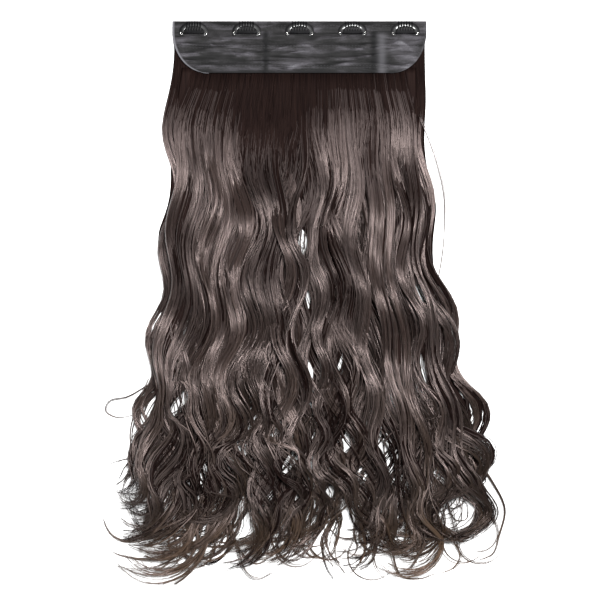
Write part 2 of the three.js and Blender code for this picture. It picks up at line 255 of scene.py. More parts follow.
# The hair stays inside this half width and this distance down, and on its left inside
# these half widths at distances down, a little more or less for each strand
SIDE_ROOM = 202 * MM
END_ROOM = 553 * MM
LEFT_PLACES = np.array([415, 450, 520, 540]) * MM
LEFT_ROOM = np.array([202, 166, 158, 200]) * MM
LEFT_UNEVEN = 14 * MM

# How far down from the band the hair is in painted shade, at places across, and over what length the painted shade
# lifts
SHADE_PLACES = np.array([-135, -100, -68, -55, -10, 3, 30, 90, 125]) * MM
SHADE_ENDS = np.array([62, 64, 74, 104, 112, 88, 62, 58, 62]) * MM
SHADE_LENGTH = 88 * MM
# Patches of painted shade, where the hair is darkened as if it turned under: across, down, half width, half length
PAINTED_SHADE_PATCHES = np.array([
    (69, 140, 15, 32), (10, 152, 11, 32), (-31, 240, 13, 30), (42, 270, 11, 50),
    (88, 431, 30, 42), (-95, 451, 36, 42), (-118, 240, 10, 30), (30, 398, 16, 26), (-20, 455, 24, 30),
]) * MM

# Strength of the painted shade in these patches
PAINTED_PATCH_SHADE = 0.72

# Painted shade on strands deep in the row towards the ends, and on some bundles in long streaks
UNDER_ENDS = (330 * MM, 450 * MM)
UNDER_SHADE = 0.9
STREAK_LENGTH = 170 * MM
STREAK_SHADE = 0.8

PATH_VALUES = "root swing lean crest fall turn radius drift stray".split()
BUNDLE_VALUES = PATH_VALUES + "middle place centre half depth own_depth phase tone".split()


def linear(hex_colour):
    """An sRGB hex colour as linear red, green and blue."""
    parts = [int(hex_colour[i:i + 2], 16) / 255 for i in (1, 3, 5)]
    return tuple(p / 12.92 if p <= 0.04045 else ((p + 0.055) / 1.055) ** 2.4 for p in parts)


def smooth(start, end, value):
    """0 before start, 1 after end, and a smooth rise between."""
    share = np.clip((value - start) / (end - start), 0, 1)
    return share * share * (3 - 2 * share)


def changed(change, distance):
    """How far a change has come at a distance along the hair."""
    return smooth(change.start, change.end, distance / HAIR_LENGTH)


def pile(down):
    """Height of one row of hair at a distance down from the band's top edge."""
    sunk = ROOT_PILE - (ROOT_PILE - SUNK_PILE) * changed(SINK, down)
    lifted = sunk + (FULL_PILE - SUNK_PILE) * changed(LIFT, down)
    return lifted - (FULL_PILE - TIP_PILE) * changed(SETTLE, down)


def waves_to(down):
    """Waves passed on the way down, with the wavelength shortening evenly."""
    shortening = (WAVELENGTH_AT_BAND - WAVELENGTH_AT_ENDS) / HAIR_LENGTH
    here = WAVELENGTH_AT_BAND - shortening * np.minimum(down, 1.1 * HAIR_LENGTH)
    return np.log(WAVELENGTH_AT_BAND / here) / shortening


def root_distance(row):
    return FIRST_ROW + (row - 1) * ROW_SPACING


def lock_width(row):
    roots = [lock.root for lock in LOCKS if lock.row == row]
    return LOCK_LAP * OUTERMOST * (max(roots) - min(roots)) / (len(roots) - 1)


class Paths:
    """The paths of many tresses or strands of one row, each an array with a row for each."""

    STEP = 2 * MM

    def __init__(self, row, **values):
        self.row = row
        for name, value in values.items():
            setattr(self, name, np.asarray(value, float)[:, None])
        self.length = self.fall + np.radians(np.abs(self.turn)) * self.radius
        self.along = np.arange(0, self.length.max() + self.STEP, self.STEP)[None, :]

    def heading(self):
        """Slope from straight down, in radians to the right, at each step."""
        down = root_distance(self.row) + self.along
        loose = changed(GROW, self.along)
        curling = smooth(self.fall - CURL_RADIUS / 2, self.fall + CURL_RADIUS / 2, self.along)
        looser = changed(LOOSEN, self.along)
        swing = self.swing * (1 + SWING_GROWTH * loose + END_GROWTH * looser)
        phase = 2 * math.pi * (waves_to(down) - waves_to(self.crest) - self.drift * (loose + 0.8 * looser))
        wave = -swing * changed(WAVE, self.along) * (1 - curling) * np.sin(phase)
        curled = np.clip((self.along - self.fall) / (self.length - self.fall), 0, 1)
        lean = self.lean * changed(LEAN, self.along) + self.stray * loose
        return np.radians(lean + wave + self.turn * curled), phase

    def places(self, extra=0):
        """Places across and down from the band's top edge, with an extra slope added."""
        slope, phase = self.heading()
        slope = slope + extra
        within = (band_half_width(root_distance(self.row)) - ROOT_ROOM) / np.abs(self.root).max()
        gathered = min(0, within - 1) * (1 - smooth(0, ROOT_FAN, self.along))
        across = self.root * (1 + gathered)
        across[:, 1:] += np.cumsum(np.sin(slope[:, :-1]) * self.STEP, axis=1)
        down = root_distance(self.row) + np.zeros_like(slope)
        down[:, 1:] += np.cumsum(np.cos(slope[:, :-1]) * self.STEP, axis=1)
        across += (self.root / OUTERMOST * HAIR_SPREAD + HAIR_SHIFT) * changed(SPREAD, down)
        return across, down, slope, phase


def at_places(values, index):
    """The values of each path at fractional step numbers, one row of numbers for each."""
    low = np.clip(np.floor(index).astype(int), 0, values.shape[1] - 2)
    share = np.clip(index - low, 0, 1)
    rows = np.arange(values.shape[0])[:, None]
    return values[rows, low] * (1 - share) + values[rows, low + 1] * share


def tube_faces(count, stations, sides, flipped=False):
    """Walls and end caps of closed tubes whose corners are numbered ring by ring."""
    number = np.arange(count * stations * sides).reshape(count, stations, sides)
    here, there = number[:, :-1], number[:, 1:]
    walls = np.stack([here, there, np.roll(there, -1, 2), np.roll(here, -1, 2)], axis=-1).reshape(-1, 4)
    caps = np.concatenate([number[:, 0], number[:, -1, ::-1]])
    return [np.roll(walls[:, ::-1], 1, 1), caps[:, ::-1]] if flipped else [walls, caps]


def tubes(points, radii, sides):
    """Closed tubes along many paths: points (tube, station, 3), radii (tube, station)."""
    tangent = np.gradient(points, axis=1)
    tangent /= np.linalg.norm(tangent, axis=2, keepdims=True) + 1e-12
    side = np.cross(tangent, (0, 0, 1))
    side /= np.linalg.norm(side, axis=2, keepdims=True) + 1e-12
    up = np.cross(side, tangent)
    angles = math.pi / 2 + 2 * math.pi * np.arange(sides) / sides
    ring = np.cos(angles)[:, None] * side[:, :, None, :] + np.sin(angles)[:, None] * up[:, :, None, :]
    vertices = points[:, :, None, :] + radii[:, :, None, None] * ring
    return vertices.reshape(-1, 3), tube_faces(*radii.shape, sides)


def mesh_piece(name, vertices, faces, **attributes):
    """A new object from arrays of vertices and faces, with a named value for each vertex."""
    mesh = bpy.data.meshes.new(name)
    mesh.vertices.add(len(vertices))
    mesh.vertices.foreach_set("co", np.ascontiguousarray(vertices, np.float32).ravel())
    corners = np.concatenate([part.ravel() for part in faces])
    sizes = np.concatenate([np.full(len(part), part.shape[1]) for part in faces])
    mesh.loops.add(len(corners))
    mesh.loops.foreach_set("vertex_index", corners.astype(np.int32))
    mesh.polygons.add(len(sizes))
    mesh.polygons.foreach_set("loop_start", np.concatenate([[0], np.cumsum(sizes)[:-1]]).astype(np.int32))
    mesh.polygons.foreach_set("use_smooth", np.ones(len(sizes), bool))
    mesh.update(calc_edges=True)
    for key, value in attributes.items():
        layer = mesh.attributes.new(key, "FLOAT", "POINT")
        layer.data.foreach_set("value", np.ascontiguousarray(value, np.float32).ravel())
    piece = bpy.data.objects.new(name, mesh)
    bpy.context.scene.collection.objects.link(piece)
    return piece


def add_node(tree, kind, settings=None, links=None):
    """A new shader node with its settings and input links. The setting stops is a colour
    ramp's list of (place, hex colour)."""
    node = tree.nodes.new(kind)
    for name, value in (settings or {}).items():
        if name == "stops":
            elements = node.color_ramp.elements
            for i, (place, colour) in enumerate(value):
                element = elements[i] if i < 2 else elements.new(place)
                element.position = place
                element.color = (*linear(colour), 1)
        elif isinstance(name, int) or name in node.inputs:
            node.inputs[name].default_value = value
        else:
            setattr(node, name, value)
    for name, socket in (links or {}).items():
        tree.links.new(socket, node.inputs[name])
    return node


def new_material(name):
    """A material with only a Principled shader, and the shader."""
    material = bpy.data.materials.new(name)
    material.use_nodes = True
    shader = material.node_tree.nodes["Principled BSDF"]
    return material, material.node_tree, shader


def texture(tree, kind, settings, scale=None):
    """A texture on the object's own places, which scale stretches along each axis."""
    place = add_node(tree, "ShaderNodeTexCoord").outputs["Object"]
    if scale:
        place = add_node(tree, "ShaderNodeMapping", {"Scale": scale}, {"Vector": place}).outputs[0]
    return add_node(tree, kind, settings, {"Vector": place})


def attribute(tree, name):
    """A named value of the mesh's corners."""
    return add_node(tree, "ShaderNodeAttribute", {"attribute_name": name}).outputs["Fac"]


def coloured(tree, shader, share, stops):
    """Colour the surface by a share through a colour ramp."""
    shades = add_node(tree, "ShaderNodeValToRGB", {"stops": stops}, {"Fac": share})
    tree.links.new(shades.outputs["Color"], shader.inputs["Base Color"])


def painted_shade_material(settings):
    """The same hair in painted shade: where it lies under the band, in the shade patches, deep in a row and on the
    rows' bodies it is painted nearly black, warm and matt, with fine lines down its length."""
    material, tree, shader = new_material("hair_in_painted_shade")
    lines = texture(tree, "ShaderNodeTexNoise", {"Scale": 1, "Detail": 2}, (900, 30, 30))
    coloured(tree, shader, lines.outputs["Fac"], [(0.35, settings.painted_shade_hex), (0.7, settings.painted_shade_pale_hex)])
    shader.inputs["Roughness"].default_value = 0.7
    shader.inputs["Specular IOR Level"].default_value = 0.09
    shader.inputs["Specular Tint"].default_value = (*linear("#ffd9d0"), 1)
    return material


def hair_material(settings):
    """Heat-resistant synthetic hair: a dark core with a clear skin, so its shine is grey.
    Towards the band, in the shade patches and deep in a row it blends into painted shade, nearly black and matt; each
    strand has its own tone, and the ends fade to a brown olive."""
    material, tree, shader = new_material("synthetic_hair")
    tone, along, rooted = (attribute(tree, name) for name in ("tone", "along", "rooted"))
    stops = [(0.2, settings.body_hex), (0.6, settings.low_hex), (0.85, settings.end_hex), (1, settings.tip_hex)]
    dark = add_node(tree, "ShaderNodeValToRGB", {"stops": stops}, {"Fac": along})
    stops = [(0.2, "#352a27"), (0.6, "#372c28"), (0.85, "#43372e"), (1, "#66503c")]
    light = add_node(tree, "ShaderNodeValToRGB", {"stops": stops}, {"Fac": along})
    toned = add_node(tree, "ShaderNodeMix", {"data_type": "RGBA"}, {0: tone, 6: dark.outputs[0], 7: light.outputs[0]})
    mix = add_node(tree, "ShaderNodeMix", {"data_type": "RGBA"}, {0: rooted, 7: toned.outputs[2]})
    mix.inputs[6].default_value = (*linear(settings.painted_shade_hex), 1)
    tree.links.new(mix.outputs[2], shader.inputs["Base Color"])
    rough = add_node(tree, "ShaderNodeMapRange", {3: 0.75, 4: settings.roughness}, {0: rooted})
    tree.links.new(rough.outputs[0], shader.inputs["Roughness"])
    shader.inputs["Specular IOR Level"].default_value = 0.55
    shader.inputs["IOR"].default_value = 1.55
    shader.inputs["Specular Tint"].default_value = (*linear("#ffe7e2"), 1)
    return material


class HairSettings(bpy.types.PropertyGroup):
    strands: bpy.props.IntProperty(
        name="Strands", description="Loose strands in each piece of hair", default=740, min=10)
    strand_width: bpy.props.FloatProperty(
        name="Strand width", description="Width of a strand, drawn coarser than a real hair", default=0.74 * MM,
        unit="LENGTH")
    tresses: bpy.props.IntProperty(
        name="Tresses", description="Tresses that each lock divides into", default=2, min=1)
    bundles: bpy.props.IntProperty(
        name="Bundles", description="Bundles that each tress divides into", default=5, min=1)
    lift: bpy.props.FloatProperty(
        name="Lift", description="How far the waves rise and sink", default=3.6 * MM, unit="LENGTH")
    roll: bpy.props.FloatProperty(
        name="Roll", description="How far each bundle rises and sinks by itself", default=1.9 * MM, unit="LENGTH")
    roughness: bpy.props.FloatProperty(
        name="Roughness", description="Roughness of the hair's skin", default=0.31, min=0, max=1, subtype="FACTOR")
    # The next two colours are painted shade, used where the hair lies under the band, in the shade patches, deep in a
    # row and on the rows' bodies
    painted_shade_hex: bpy.props.StringProperty(
        name="Root colour", description="Hair colour at the band, sRGB hex", default="#0a0505")
    painted_shade_pale_hex: bpy.props.StringProperty(
        name="Deep colour", description="Lighter hair colour at the band and deep in a row, sRGB hex",
        default="#170e0c")
    body_hex: bpy.props.StringProperty(
        name="Body colour", description="Darkest hair colour on the way down, sRGB hex", default="#120c0b")
    low_hex: bpy.props.StringProperty(
        name="Lower colour", description="Darkest hair colour lower down, sRGB hex", default="#140e0c")
    tip_hex: bpy.props.StringProperty(
        name="Tip colour", description="Darkest hair colour at the very ends, sRGB hex", default="#2b2017")
    end_hex: bpy.props.StringProperty(
        name="End colour", description="Darkest hair colour above the ends, sRGB hex", default="#16110e")
    seed: bpy.props.IntProperty(name="Seed", description="Seed of the strands' differences", default=12)


def shares_of(count, rng):
    """Middles and half widths of uneven neighbours that fill -1 to 1."""
    widths = rng.uniform(0.6, 1.5, count)
    edges = np.concatenate([[0], np.cumsum(widths)]) / widths.sum() * 2 - 1
    return list(zip((edges[1:] + edges[:-1]) / 2, (edges[1:] - edges[:-1]) / 2))


def row_bundles(row, settings, rng):
    """The finest bundles of a row. Each lock divides into tresses and each tress into
    bundles, and every division differs a little more from its lock."""
    bundles = {name: [] for name in BUNDLE_VALUES}
    half = lock_width(row) / 2
    for lock in (each for each in LOCKS if each.row == row):
        for tress_place, tress_half in shares_of(settings.tresses, rng):
            swing = lock.swing * rng.normal(1, 0.14) * (0.45 if rng.uniform() < 0.12 else 1)
            crest = lock.crest * HAIR_LENGTH + rng.normal(0, 7) * MM
            drift, stray = rng.normal(0, 0.19), rng.normal(0, 1.9) + 1.2 * tress_place
            fall = lock.fall + 0.02 * (row - 1) + rng.normal(0, 0.025)
            turn = lock.turn * rng.uniform(0.9, 1.7) + rng.normal(0, 20)
            radius, depth = 0.72 * lock.radius * math.exp(rng.normal(0, 0.25)), rng.uniform()
            phase, tone = rng.uniform(0, 2 * math.pi), rng.uniform()
            middle = lock.root * OUTERMOST + tress_place * half
            for place, bundle_half in shares_of(settings.bundles, rng):
                values = dict(
                    root=middle + place * tress_half * half, swing=swing * rng.normal(1, 0.07),
                    lean=lock.lean, crest=crest + rng.normal(0, 3) * MM,
                    fall=(fall + rng.normal(0, 0.008)) * HAIR_LENGTH,
                    turn=turn * rng.uniform(0.9, 1.1) + rng.normal(0, 5),
                    radius=radius * CURL_RADIUS * math.exp(rng.normal(0, 0.08)),
                    drift=drift + rng.normal(0, 0.04), stray=stray + rng.normal(0, 1.1),
                    middle=middle, place=place, centre=lock.root * OUTERMOST, half=bundle_half * tress_half * half,
                    depth=depth, own_depth=rng.uniform(), phase=phase, tone=0.6 * tone + 0.4 * rng.uniform(),
                )
                for name, value in values.items():
                    bundles[name].append(value)
    return {name: np.array(value) for name, value in bundles.items()}


def strand_stations(count):
    """Shares of a strand's length at its stations: few at the straight root, more in the curl."""
    share = np.linspace(0, 1, 400)
    density = 0.55 + 0.45 * smooth(0.05, 0.18, share) + 0.5 * smooth(0.75, 0.85, share)
    total = np.concatenate([[0], np.cumsum((density[1:] + density[:-1]) / 2)])
    return np.interp(np.linspace(0, total[-1], count), total, share)


def relief(across, down):
    """Height that the swells and hollows add to the hair at a place on the band's grid."""
    height = np.zeros(np.broadcast(across, down).shape)
    for swell in SWELLS:
        near = np.clip(np.abs(down - swell.down) / swell.length, 0, 1)
        beside = np.clip(np.abs(across - swell.across) / swell.width, 0, 1)
        height += swell.height * np.cos(near * math.pi / 2) ** 2 * np.cos(beside * math.pi / 2) ** 0.8
    return height


def surface(row, across, down, depth, phase, settings):
    """Height of hair at a depth in its row, with its row's rise and fall along the waves."""
    thick = pile(down)
    height = (row - 1) * thick + depth * (thick - ROW_GAP)
    height -= DIP_DEPTH * (row - 1) / 2 * np.cos(np.clip((down - DIP_AT) / DIP_LENGTH, -1, 1) * math.pi / 2) ** 2
    free = changed(LIFT, down) * (1 - 0.3 * changed(SETTLE, down)) * (0.5 if row == 1 else 1)
    height += settings.lift * free * np.cos(phase + LIFT_PHASE)
    return height + relief(across, down) * (0.4 if row == 1 else 1)


def room_left(across, down, uneven):
    """How far along each path the hair may go before it leaves the piece's outline."""
    left = np.interp(down, LEFT_PLACES, LEFT_ROOM) + LEFT_UNEVEN * uneven
    outside = (across < -left) | (np.abs(across) > SIDE_ROOM) | (down > END_ROOM)
    outside[:, -1] = True
    return outside.argmax(1)[:, None] * Paths.STEP


def painted_shade_share(across, down, depth, taken):
    """How much painted shade the strands get: deep in the row at the ends, in the painted shade patches and in
    streaks.
    """
    shade = UNDER_SHADE * smooth(*UNDER_ENDS, down) * (1 - smooth(0.3, 0.6, depth))
    for place, level, half, reach in PAINTED_SHADE_PATCHES:
        beyond = ((across - place) / half) ** 2 + ((down - level) / reach) ** 2
        shade = np.maximum(shade, PAINTED_PATCH_SHADE * np.exp(-beyond))
    turning = np.sin(2 * math.pi * down / STREAK_LENGTH + 2 * taken["phase"][:, None])
    streaks = 1 - smooth(0.05, 0.3, taken["own_depth"][:, None] + 0.22 * turning)
    return np.maximum(shade, STREAK_SHADE * streaks)


def strand_piece(name, row, bundles, settings, rng, count, stations=43):
    """A piece of loose strands that follow their row's bundles."""
    low = (bundles["root"] - bundles["half"]).min()
    high = (bundles["root"] + bundles["half"]).max()
    root = low + (high - low) * (np.arange(count) + rng.uniform(0, 1, count)) / count
    own = np.abs(root[:, None] - bundles["root"][None, :]).argmin(1)
    between = rng.uniform(0, 1, count) < BETWEEN_SHARE
    order = bundles["root"].argsort()
    taken = {
        key: np.where(between, np.interp(root, bundles["root"][order], value[order]), value[own])
        for key, value in bundles.items()
    }
    paths = Paths(row, **{key: taken[key] for key in PATH_VALUES})
    along = paths.along

    unrest = 1 + RESTLESS_GAIN * (rng.uniform(0, 1, count) > 1 - RESTLESS_SHARE)
    own_slope = np.zeros((count, along.shape[1]))
    for wavelength, size in SWERVES:
        shift = rng.uniform(0, 2 * math.pi, (count, 1))
        width = wavelength * rng.uniform(0.8, 1.25, (count, 1))
        own_slope += np.radians(size) * rng.normal(0, 1, (count, 1)) * np.sin(2 * math.pi * along / width + shift)
    own_slope *= unrest[:, None] * (0.25 + 0.75 * changed(GROW, along)) * changed(WAVE, along)
    across, down, slope, phase = paths.places(own_slope)

    share = along / paths.length
    offset = (root - taken["root"])[:, None]
    inward = (taken["middle"] - taken["root"])[:, None]
    beside = offset * (1 - 0.3 * changed(SPREAD, along)) * (1 - 0.72 * smooth(0.78, 1, share))
    beside = beside + inward * (0.25 * changed(SPREAD, along) + 0.45 * smooth(0.74, 1, share))
    across = across + beside * np.cos(slope)
    down = down + beside * np.sin(slope)
    across = np.where(rng.uniform(0, 1, (count, 1)) < CROSSING_SHARE, across, parted(row, across, down))

    in_bundle = np.clip(offset / taken["half"][:, None], -1, 1)
    in_lock = np.clip((root - taken["centre"])[:, None] / (lock_width(row) / 2), -1, 1)
    crown = 0.2 * np.sqrt(1 - 0.9 * in_bundle ** 2) + 0.3 * np.sqrt(1 - 0.85 * taken["place"][:, None] ** 2)
    crown = crown + 0.5 * np.sqrt(1 - 0.95 * in_lock ** 2)
    weave = 0.22 * np.sin(2 * math.pi * along / WEAVE_LENGTH + taken["phase"][:, None])
    depth = 0.1 + 0.3 * (taken["depth"][:, None] + weave) + 0.1 * taken["own_depth"][:, None]
    depth = depth + 0.62 * crown * rng.uniform(0, 1, (count, 1)) ** 0.4
    depth = np.where(between[:, None], 0.1 + 0.6 * depth, depth)
    height = surface(row, across, down, depth, phase + 1.5 * taken["depth"][:, None], settings)
    rolling = 2 * math.pi * along / ROLL_LENGTH + taken["phase"][:, None] + 1.6 * taken["own_depth"][:, None]
    height += settings.roll * changed(WAVE, along) * np.sin(rolling)
    radius = settings.strand_width / 2 * rng.uniform(0.75, 1.3, (count, 1))
    height = np.maximum(height, radius + 0.1 * MM)

    length = paths.length * (1 - 0.13 * rng.uniform(0, 1, (count, 1)) ** 2)
    length = np.minimum(length, room_left(across, down, np.sin(1e3 * root)[:, None]))
    stops = strand_stations(stations)[None, :]
    moved_on = 0.5 / stations * rng.uniform(-1, 1, (count, 1))
    index = (stops + moved_on * smooth(0.03, 0.12, stops) * (1 - smooth(0.2, 0.4, stops))) * length / paths.STEP
    across, down, depth, height = (at_places(values, index) for values in (across, down, depth, height))
    points = np.stack([BAND_MIDDLE + across, TOP_EDGE.y - down, height], axis=-1)
    share = stops * np.ones((count, 1))
    radii = radius * (1 + 0.45 * smooth(0.55, 0.8, share) - 0.95 * smooth(0.88, 1, share))
    vertices, faces = tubes(points, radii, 3)
    tone = np.repeat((0.75 * taken["tone"] + 0.25 * rng.uniform(0, 1, count)) ** 1.8, stations * 3)
    # Near the band, in the painted shade patches and deep in the row the strands are painted in shade: nearly black,
    # with matt faces where the painted shade is strong
    start = np.interp(across, SHADE_PLACES, SHADE_ENDS) + rng.normal(0, 5 * MM, (count, 1))
    rooted = smooth(0, 1, (down - start) / SHADE_LENGTH) * (1 - painted_shade_share(across, down, depth, taken))
    glossy = rooted > rng.uniform(0.02, 0.8, (count, 1))
    piece_materials = np.concatenate([np.repeat(glossy[:, 1:].ravel(), 3), np.zeros(count), np.ones(count)])
    along_share = np.repeat((down / HAIR_LENGTH).ravel(), 3)
    piece = mesh_piece(name, vertices, faces, tone=tone, along=along_share, rooted=np.repeat(rooted.ravel(), 3))
    piece.data.polygons.foreach_set("material_index", piece_materials.astype(np.int32))
    return piece


def body_piece(name, row, settings):
    """The body of a row, all in painted shade: its locks as grooved bundles under the loose strands."""
    locks = [lock for lock in LOCKS if lock.row == row]
    sides, stations = 20, 60
    sizes = dict(root=OUTERMOST, swing=1, lean=1, crest=HAIR_LENGTH, fall=HAIR_LENGTH, turn=1, radius=CURL_RADIUS)
    values = {name: [getattr(lock, name) * size for lock in locks] for name, size in sizes.items()}
    paths = Paths(row, drift=[0] * len(locks), stray=[0] * len(locks), **values)
    across, down, slope, _ = paths.places()
    share = np.linspace(0, 1, stations)[None, :] * np.ones((len(locks), 1))
    index = share * paths.length * BODY_REACH / paths.STEP
    x, d, slope = (at_places(values, index) for values in (across, down, slope))
    widened, narrowed = BODY_WIDENED[row - 1], BODY_NARROWED[row - 1]
    half = lock_width(row) / 2 * (1 + widened * smooth(0.1, 0.3, share))
    half = half * (1 - narrowed * smooth(0.3, 0.5, share)) * (1 - 0.9 * smooth(0.66, 0.95, share))
    angles = 2 * math.pi * np.arange(sides) / sides
    grooves = 1 - 0.07 * (np.arange(sides) % 2)
    wide = (np.cos(angles) * grooves)[None, None, :] * half[:, :, None]
    level = 0.14 + 0.13 * (np.sin(angles) * grooves)[None, None, :] * np.ones_like(wide)
    places_across = x[:, :, None] + wide * np.cos(slope)[:, :, None]
    places_down = d[:, :, None] + wide * np.sin(slope)[:, :, None]
    places_across = parted(row, places_across, places_down, (x, d))
    thin = (1 - 0.6 * smooth(0.7, 1, share))[:, :, None]
    height = surface(row, places_across, places_down, level * thin, math.pi - LIFT_PHASE, settings)
    height -= settings.roll * changed(WAVE, places_down)
    height = np.maximum(height, 0.2 * MM * (1 + level))
    vertices = np.stack([BAND_MIDDLE + places_across, TOP_EDGE.y - places_down, height], axis=-1)
    along = np.broadcast_to(places_down / HAIR_LENGTH, wide.shape)
    values = dict(tone=np.zeros(wide.size), along=along, rooted=0 * along)
    return mesh_piece(name, vertices.reshape(-1, 3), tube_faces(*wide.shape, flipped=True), **values)


# Single curls and flyaways: how many strands, how wide they start and how high, in
# millimetres, and the places across and down that each one passes through
Wisp = namedtuple("Wisp", "strands width height path")
WISPS = [
    Wisp(3, 2, 6, [(117, 92), (127, 116), (136, 142), (143, 176), (142, 221), (134, 265), (124, 300)]),
    Wisp(4, 3, 5, [(-147, 358), (-168, 370), (-186, 374), (-190, 384), (-178, 390), (-158, 386)]),
    Wisp(7, 4, 6, [(-147, 352), (-163, 392), (-165, 417), (-154, 426), (-142, 423)]),
    Wisp(4, 3, 6, [(-132, 412), (-154, 426), (-176, 432), (-193, 439)]),
    Wisp(7, 5, 7, [(-137, 416), (-156, 436), (-170, 451), (-177, 470)]),
    Wisp(16, 9, 12, [(-139, 402), (-144, 441), (-137, 475), (-137, 495), (-147, 507), (-171, 512), (-186, 505),
                     (-194, 490)]),
    Wisp(9, 6, 8, [(-78, 500), (-117, 521), (-147, 530), (-176, 526), (-190, 518)]),
    Wisp(8, 6, 8, [(-37, 490), (-49, 505), (-83, 517), (-112, 510)]),
    Wisp(6, 4, 6, [(-70, 490), (-63, 514), (-44, 534), (-24, 524)]),
    Wisp(4, 3, 5, [(-62, 514), (-55, 539), (-42, 549), (-19, 539)]),
    Wisp(12, 7, 15, [(-73, 421), (-58, 441), (-51, 465), (-55, 485), (-73, 505), (-102, 514)]),
    Wisp(8, 5, 17, [(-63, 358), (-73, 372), (-93, 402), (-112, 421), (-125, 433)]),
    Wisp(8, 5, 17, [(10, 387), (0, 402), (-14, 426), (-29, 441), (-37, 449)]),
    Wisp(12, 8, 17, [(25, 358), (30, 372), (51, 402), (74, 436), (94, 465), (106, 490)]),
    Wisp(12, 8, 12, [(59, 461), (20, 495), (-19, 510), (-68, 514), (-93, 510)]),
    Wisp(14, 8, 12, [(130, 426), (128, 441), (108, 480), (77, 514), (74, 534), (84, 549)]),
    Wisp(7, 5, 8, [(84, 490), (89, 514), (98, 544), (118, 549), (138, 541)]),
    Wisp(9, 5, 8, [(138, 412), (136, 441), (131, 470), (134, 495), (152, 511), (172, 502), (179, 482), (169, 465),
                   (152, 461), (138, 470)]),
    Wisp(5, 3, 6, [(148, 441), (145, 470), (152, 490), (165, 490), (165, 475), (155, 470)]),
    Wisp(7, 4, 7, [(167, 402), (172, 426), (187, 449), (199, 470), (202, 485), (197, 505), (191, 524), (177, 531)]),
    Wisp(6, 5, 7, [(30, 470), (38, 500), (32, 524), (18, 534)]),
    Wisp(6, 5, 7, [(0, 470), (5, 500), (-1, 521), (-16, 529)]),
    Wisp(6, 5, 7, [(113, 490), (118, 517), (110, 537), (94, 544)]),
    Wisp(5, 4, 6, [(152, 510), (159, 525), (152, 539), (136, 544)]),
    Wisp(5, 4, 6, [(59, 490), (64, 519), (55, 539), (44, 544)]),
]


FRINGE_CURLS = 30


def fringe(rng):
    """Loose curls along the hair's lower edge, like the single ones."""
    curls = []
    for i in range(FRINGE_CURLS):
        across, down = -128 + 285 * (i + rng.uniform(0, 1)) / FRINGE_CURLS, rng.uniform(425, 470)
        radius, turn = rng.uniform(12, 24), rng.choice([-1, -1, 1]) * rng.uniform(1.7, 3.3)
        slope, lowest = rng.normal(0, 0.25), rng.uniform(522, 548)
        steps = [(0.2 * (lowest - radius - down), rng.normal(0, 0.15)) for step in range(5)]
        steps += [(abs(turn) * radius / 8, turn / 8) for step in range(8)]
        path = [(across, down)]
        for length, bend in steps:
            slope += bend
            across, down = across + length * math.sin(slope), down + length * math.cos(slope)
            path.append((across, down))
        curls.append(Wisp(5, rng.uniform(4, 8), rng.uniform(6, 14), path))
    return curls


def curve_through(path, count):
    """Evenly spaced places on a smooth curve through a path's places."""
    path = np.array(path, float)
    ends = np.concatenate([[2 * path[0] - path[1]], path, [2 * path[-1] - path[-2]]])
    step = np.linspace(0, len(path) - 1, 30 * len(path))
    low = np.minimum(step.astype(int), len(path) - 2)
    f = (step - low)[:, None]
    a, b, c, d = (ends[low + i] for i in range(4))
    curve = 0.5 * (2 * b + (c - a) * f + (2 * a - 5 * b + 4 * c - d) * f ** 2 + (3 * b - a - 3 * c + d) * f ** 3)
    reach = np.concatenate([[0], np.cumsum(np.linalg.norm(np.diff(curve, axis=0), axis=1))])
    even = np.linspace(0, reach[-1], count)
    return np.stack([np.interp(even, reach, curve[:, i]) for i in range(2)], -1)


def wisp_piece(settings, rng, stations=36):
    """The single curls and flyaways, as thin tapering groups of strands."""
    points, radii, tones = [], [], []
    share = np.linspace(0, 1, stations)
    for wisp in WISPS + fringe(rng):
        fine = np.linspace(0, 1, 200)
        middle = curve_through(wisp.path, len(fine)) * MM
        tangent = np.gradient(middle, axis=0)
        tangent /= np.linalg.norm(tangent, axis=1, keepdims=True)
        for i in range(wisp.strands):
            place = rng.uniform(-1, 1)
            beside = place * wisp.width / 2 * (1 - 0.8 * smooth(0.2, 1, fine))
            beside += rng.normal(0, 0.7) * np.sin(2 * math.pi * (fine * rng.uniform(0.7, 1.6) + rng.uniform())) * fine
            spot = middle + beside[:, None] * MM * np.stack([-tangent[:, 1], tangent[:, 0]], -1)
            reach = share * (1 - 0.22 * rng.uniform() ** 2)
            across, down = (np.interp(reach, fine, spot[:, axis]) for axis in range(2))
            high = wisp.height * (1 - smooth(0, 0.85, share)) + 1.2 + rng.uniform(0, 1.8) * (1 - 0.5 * share)
            points.append(np.stack([BAND_MIDDLE + across, TOP_EDGE.y - down, high * MM], -1))
            radii.append(settings.strand_width / 2 * rng.uniform(0.75, 1.15) * (1 - 0.6 * smooth(0.6, 1, share)))
            tones.append(rng.uniform(0, 1) ** 1.3)
    points, radii = np.array(points), np.array(radii)
    vertices, faces = tubes(points, radii, 3)
    along = np.repeat(((TOP_EDGE.y - points[..., 1]) / HAIR_LENGTH).ravel(), 3)
    values = dict(tone=np.repeat(tones, stations * 3), along=along, rooted=0 * along + 1)
    return mesh_piece("hair_wisps", vertices, faces, **values)


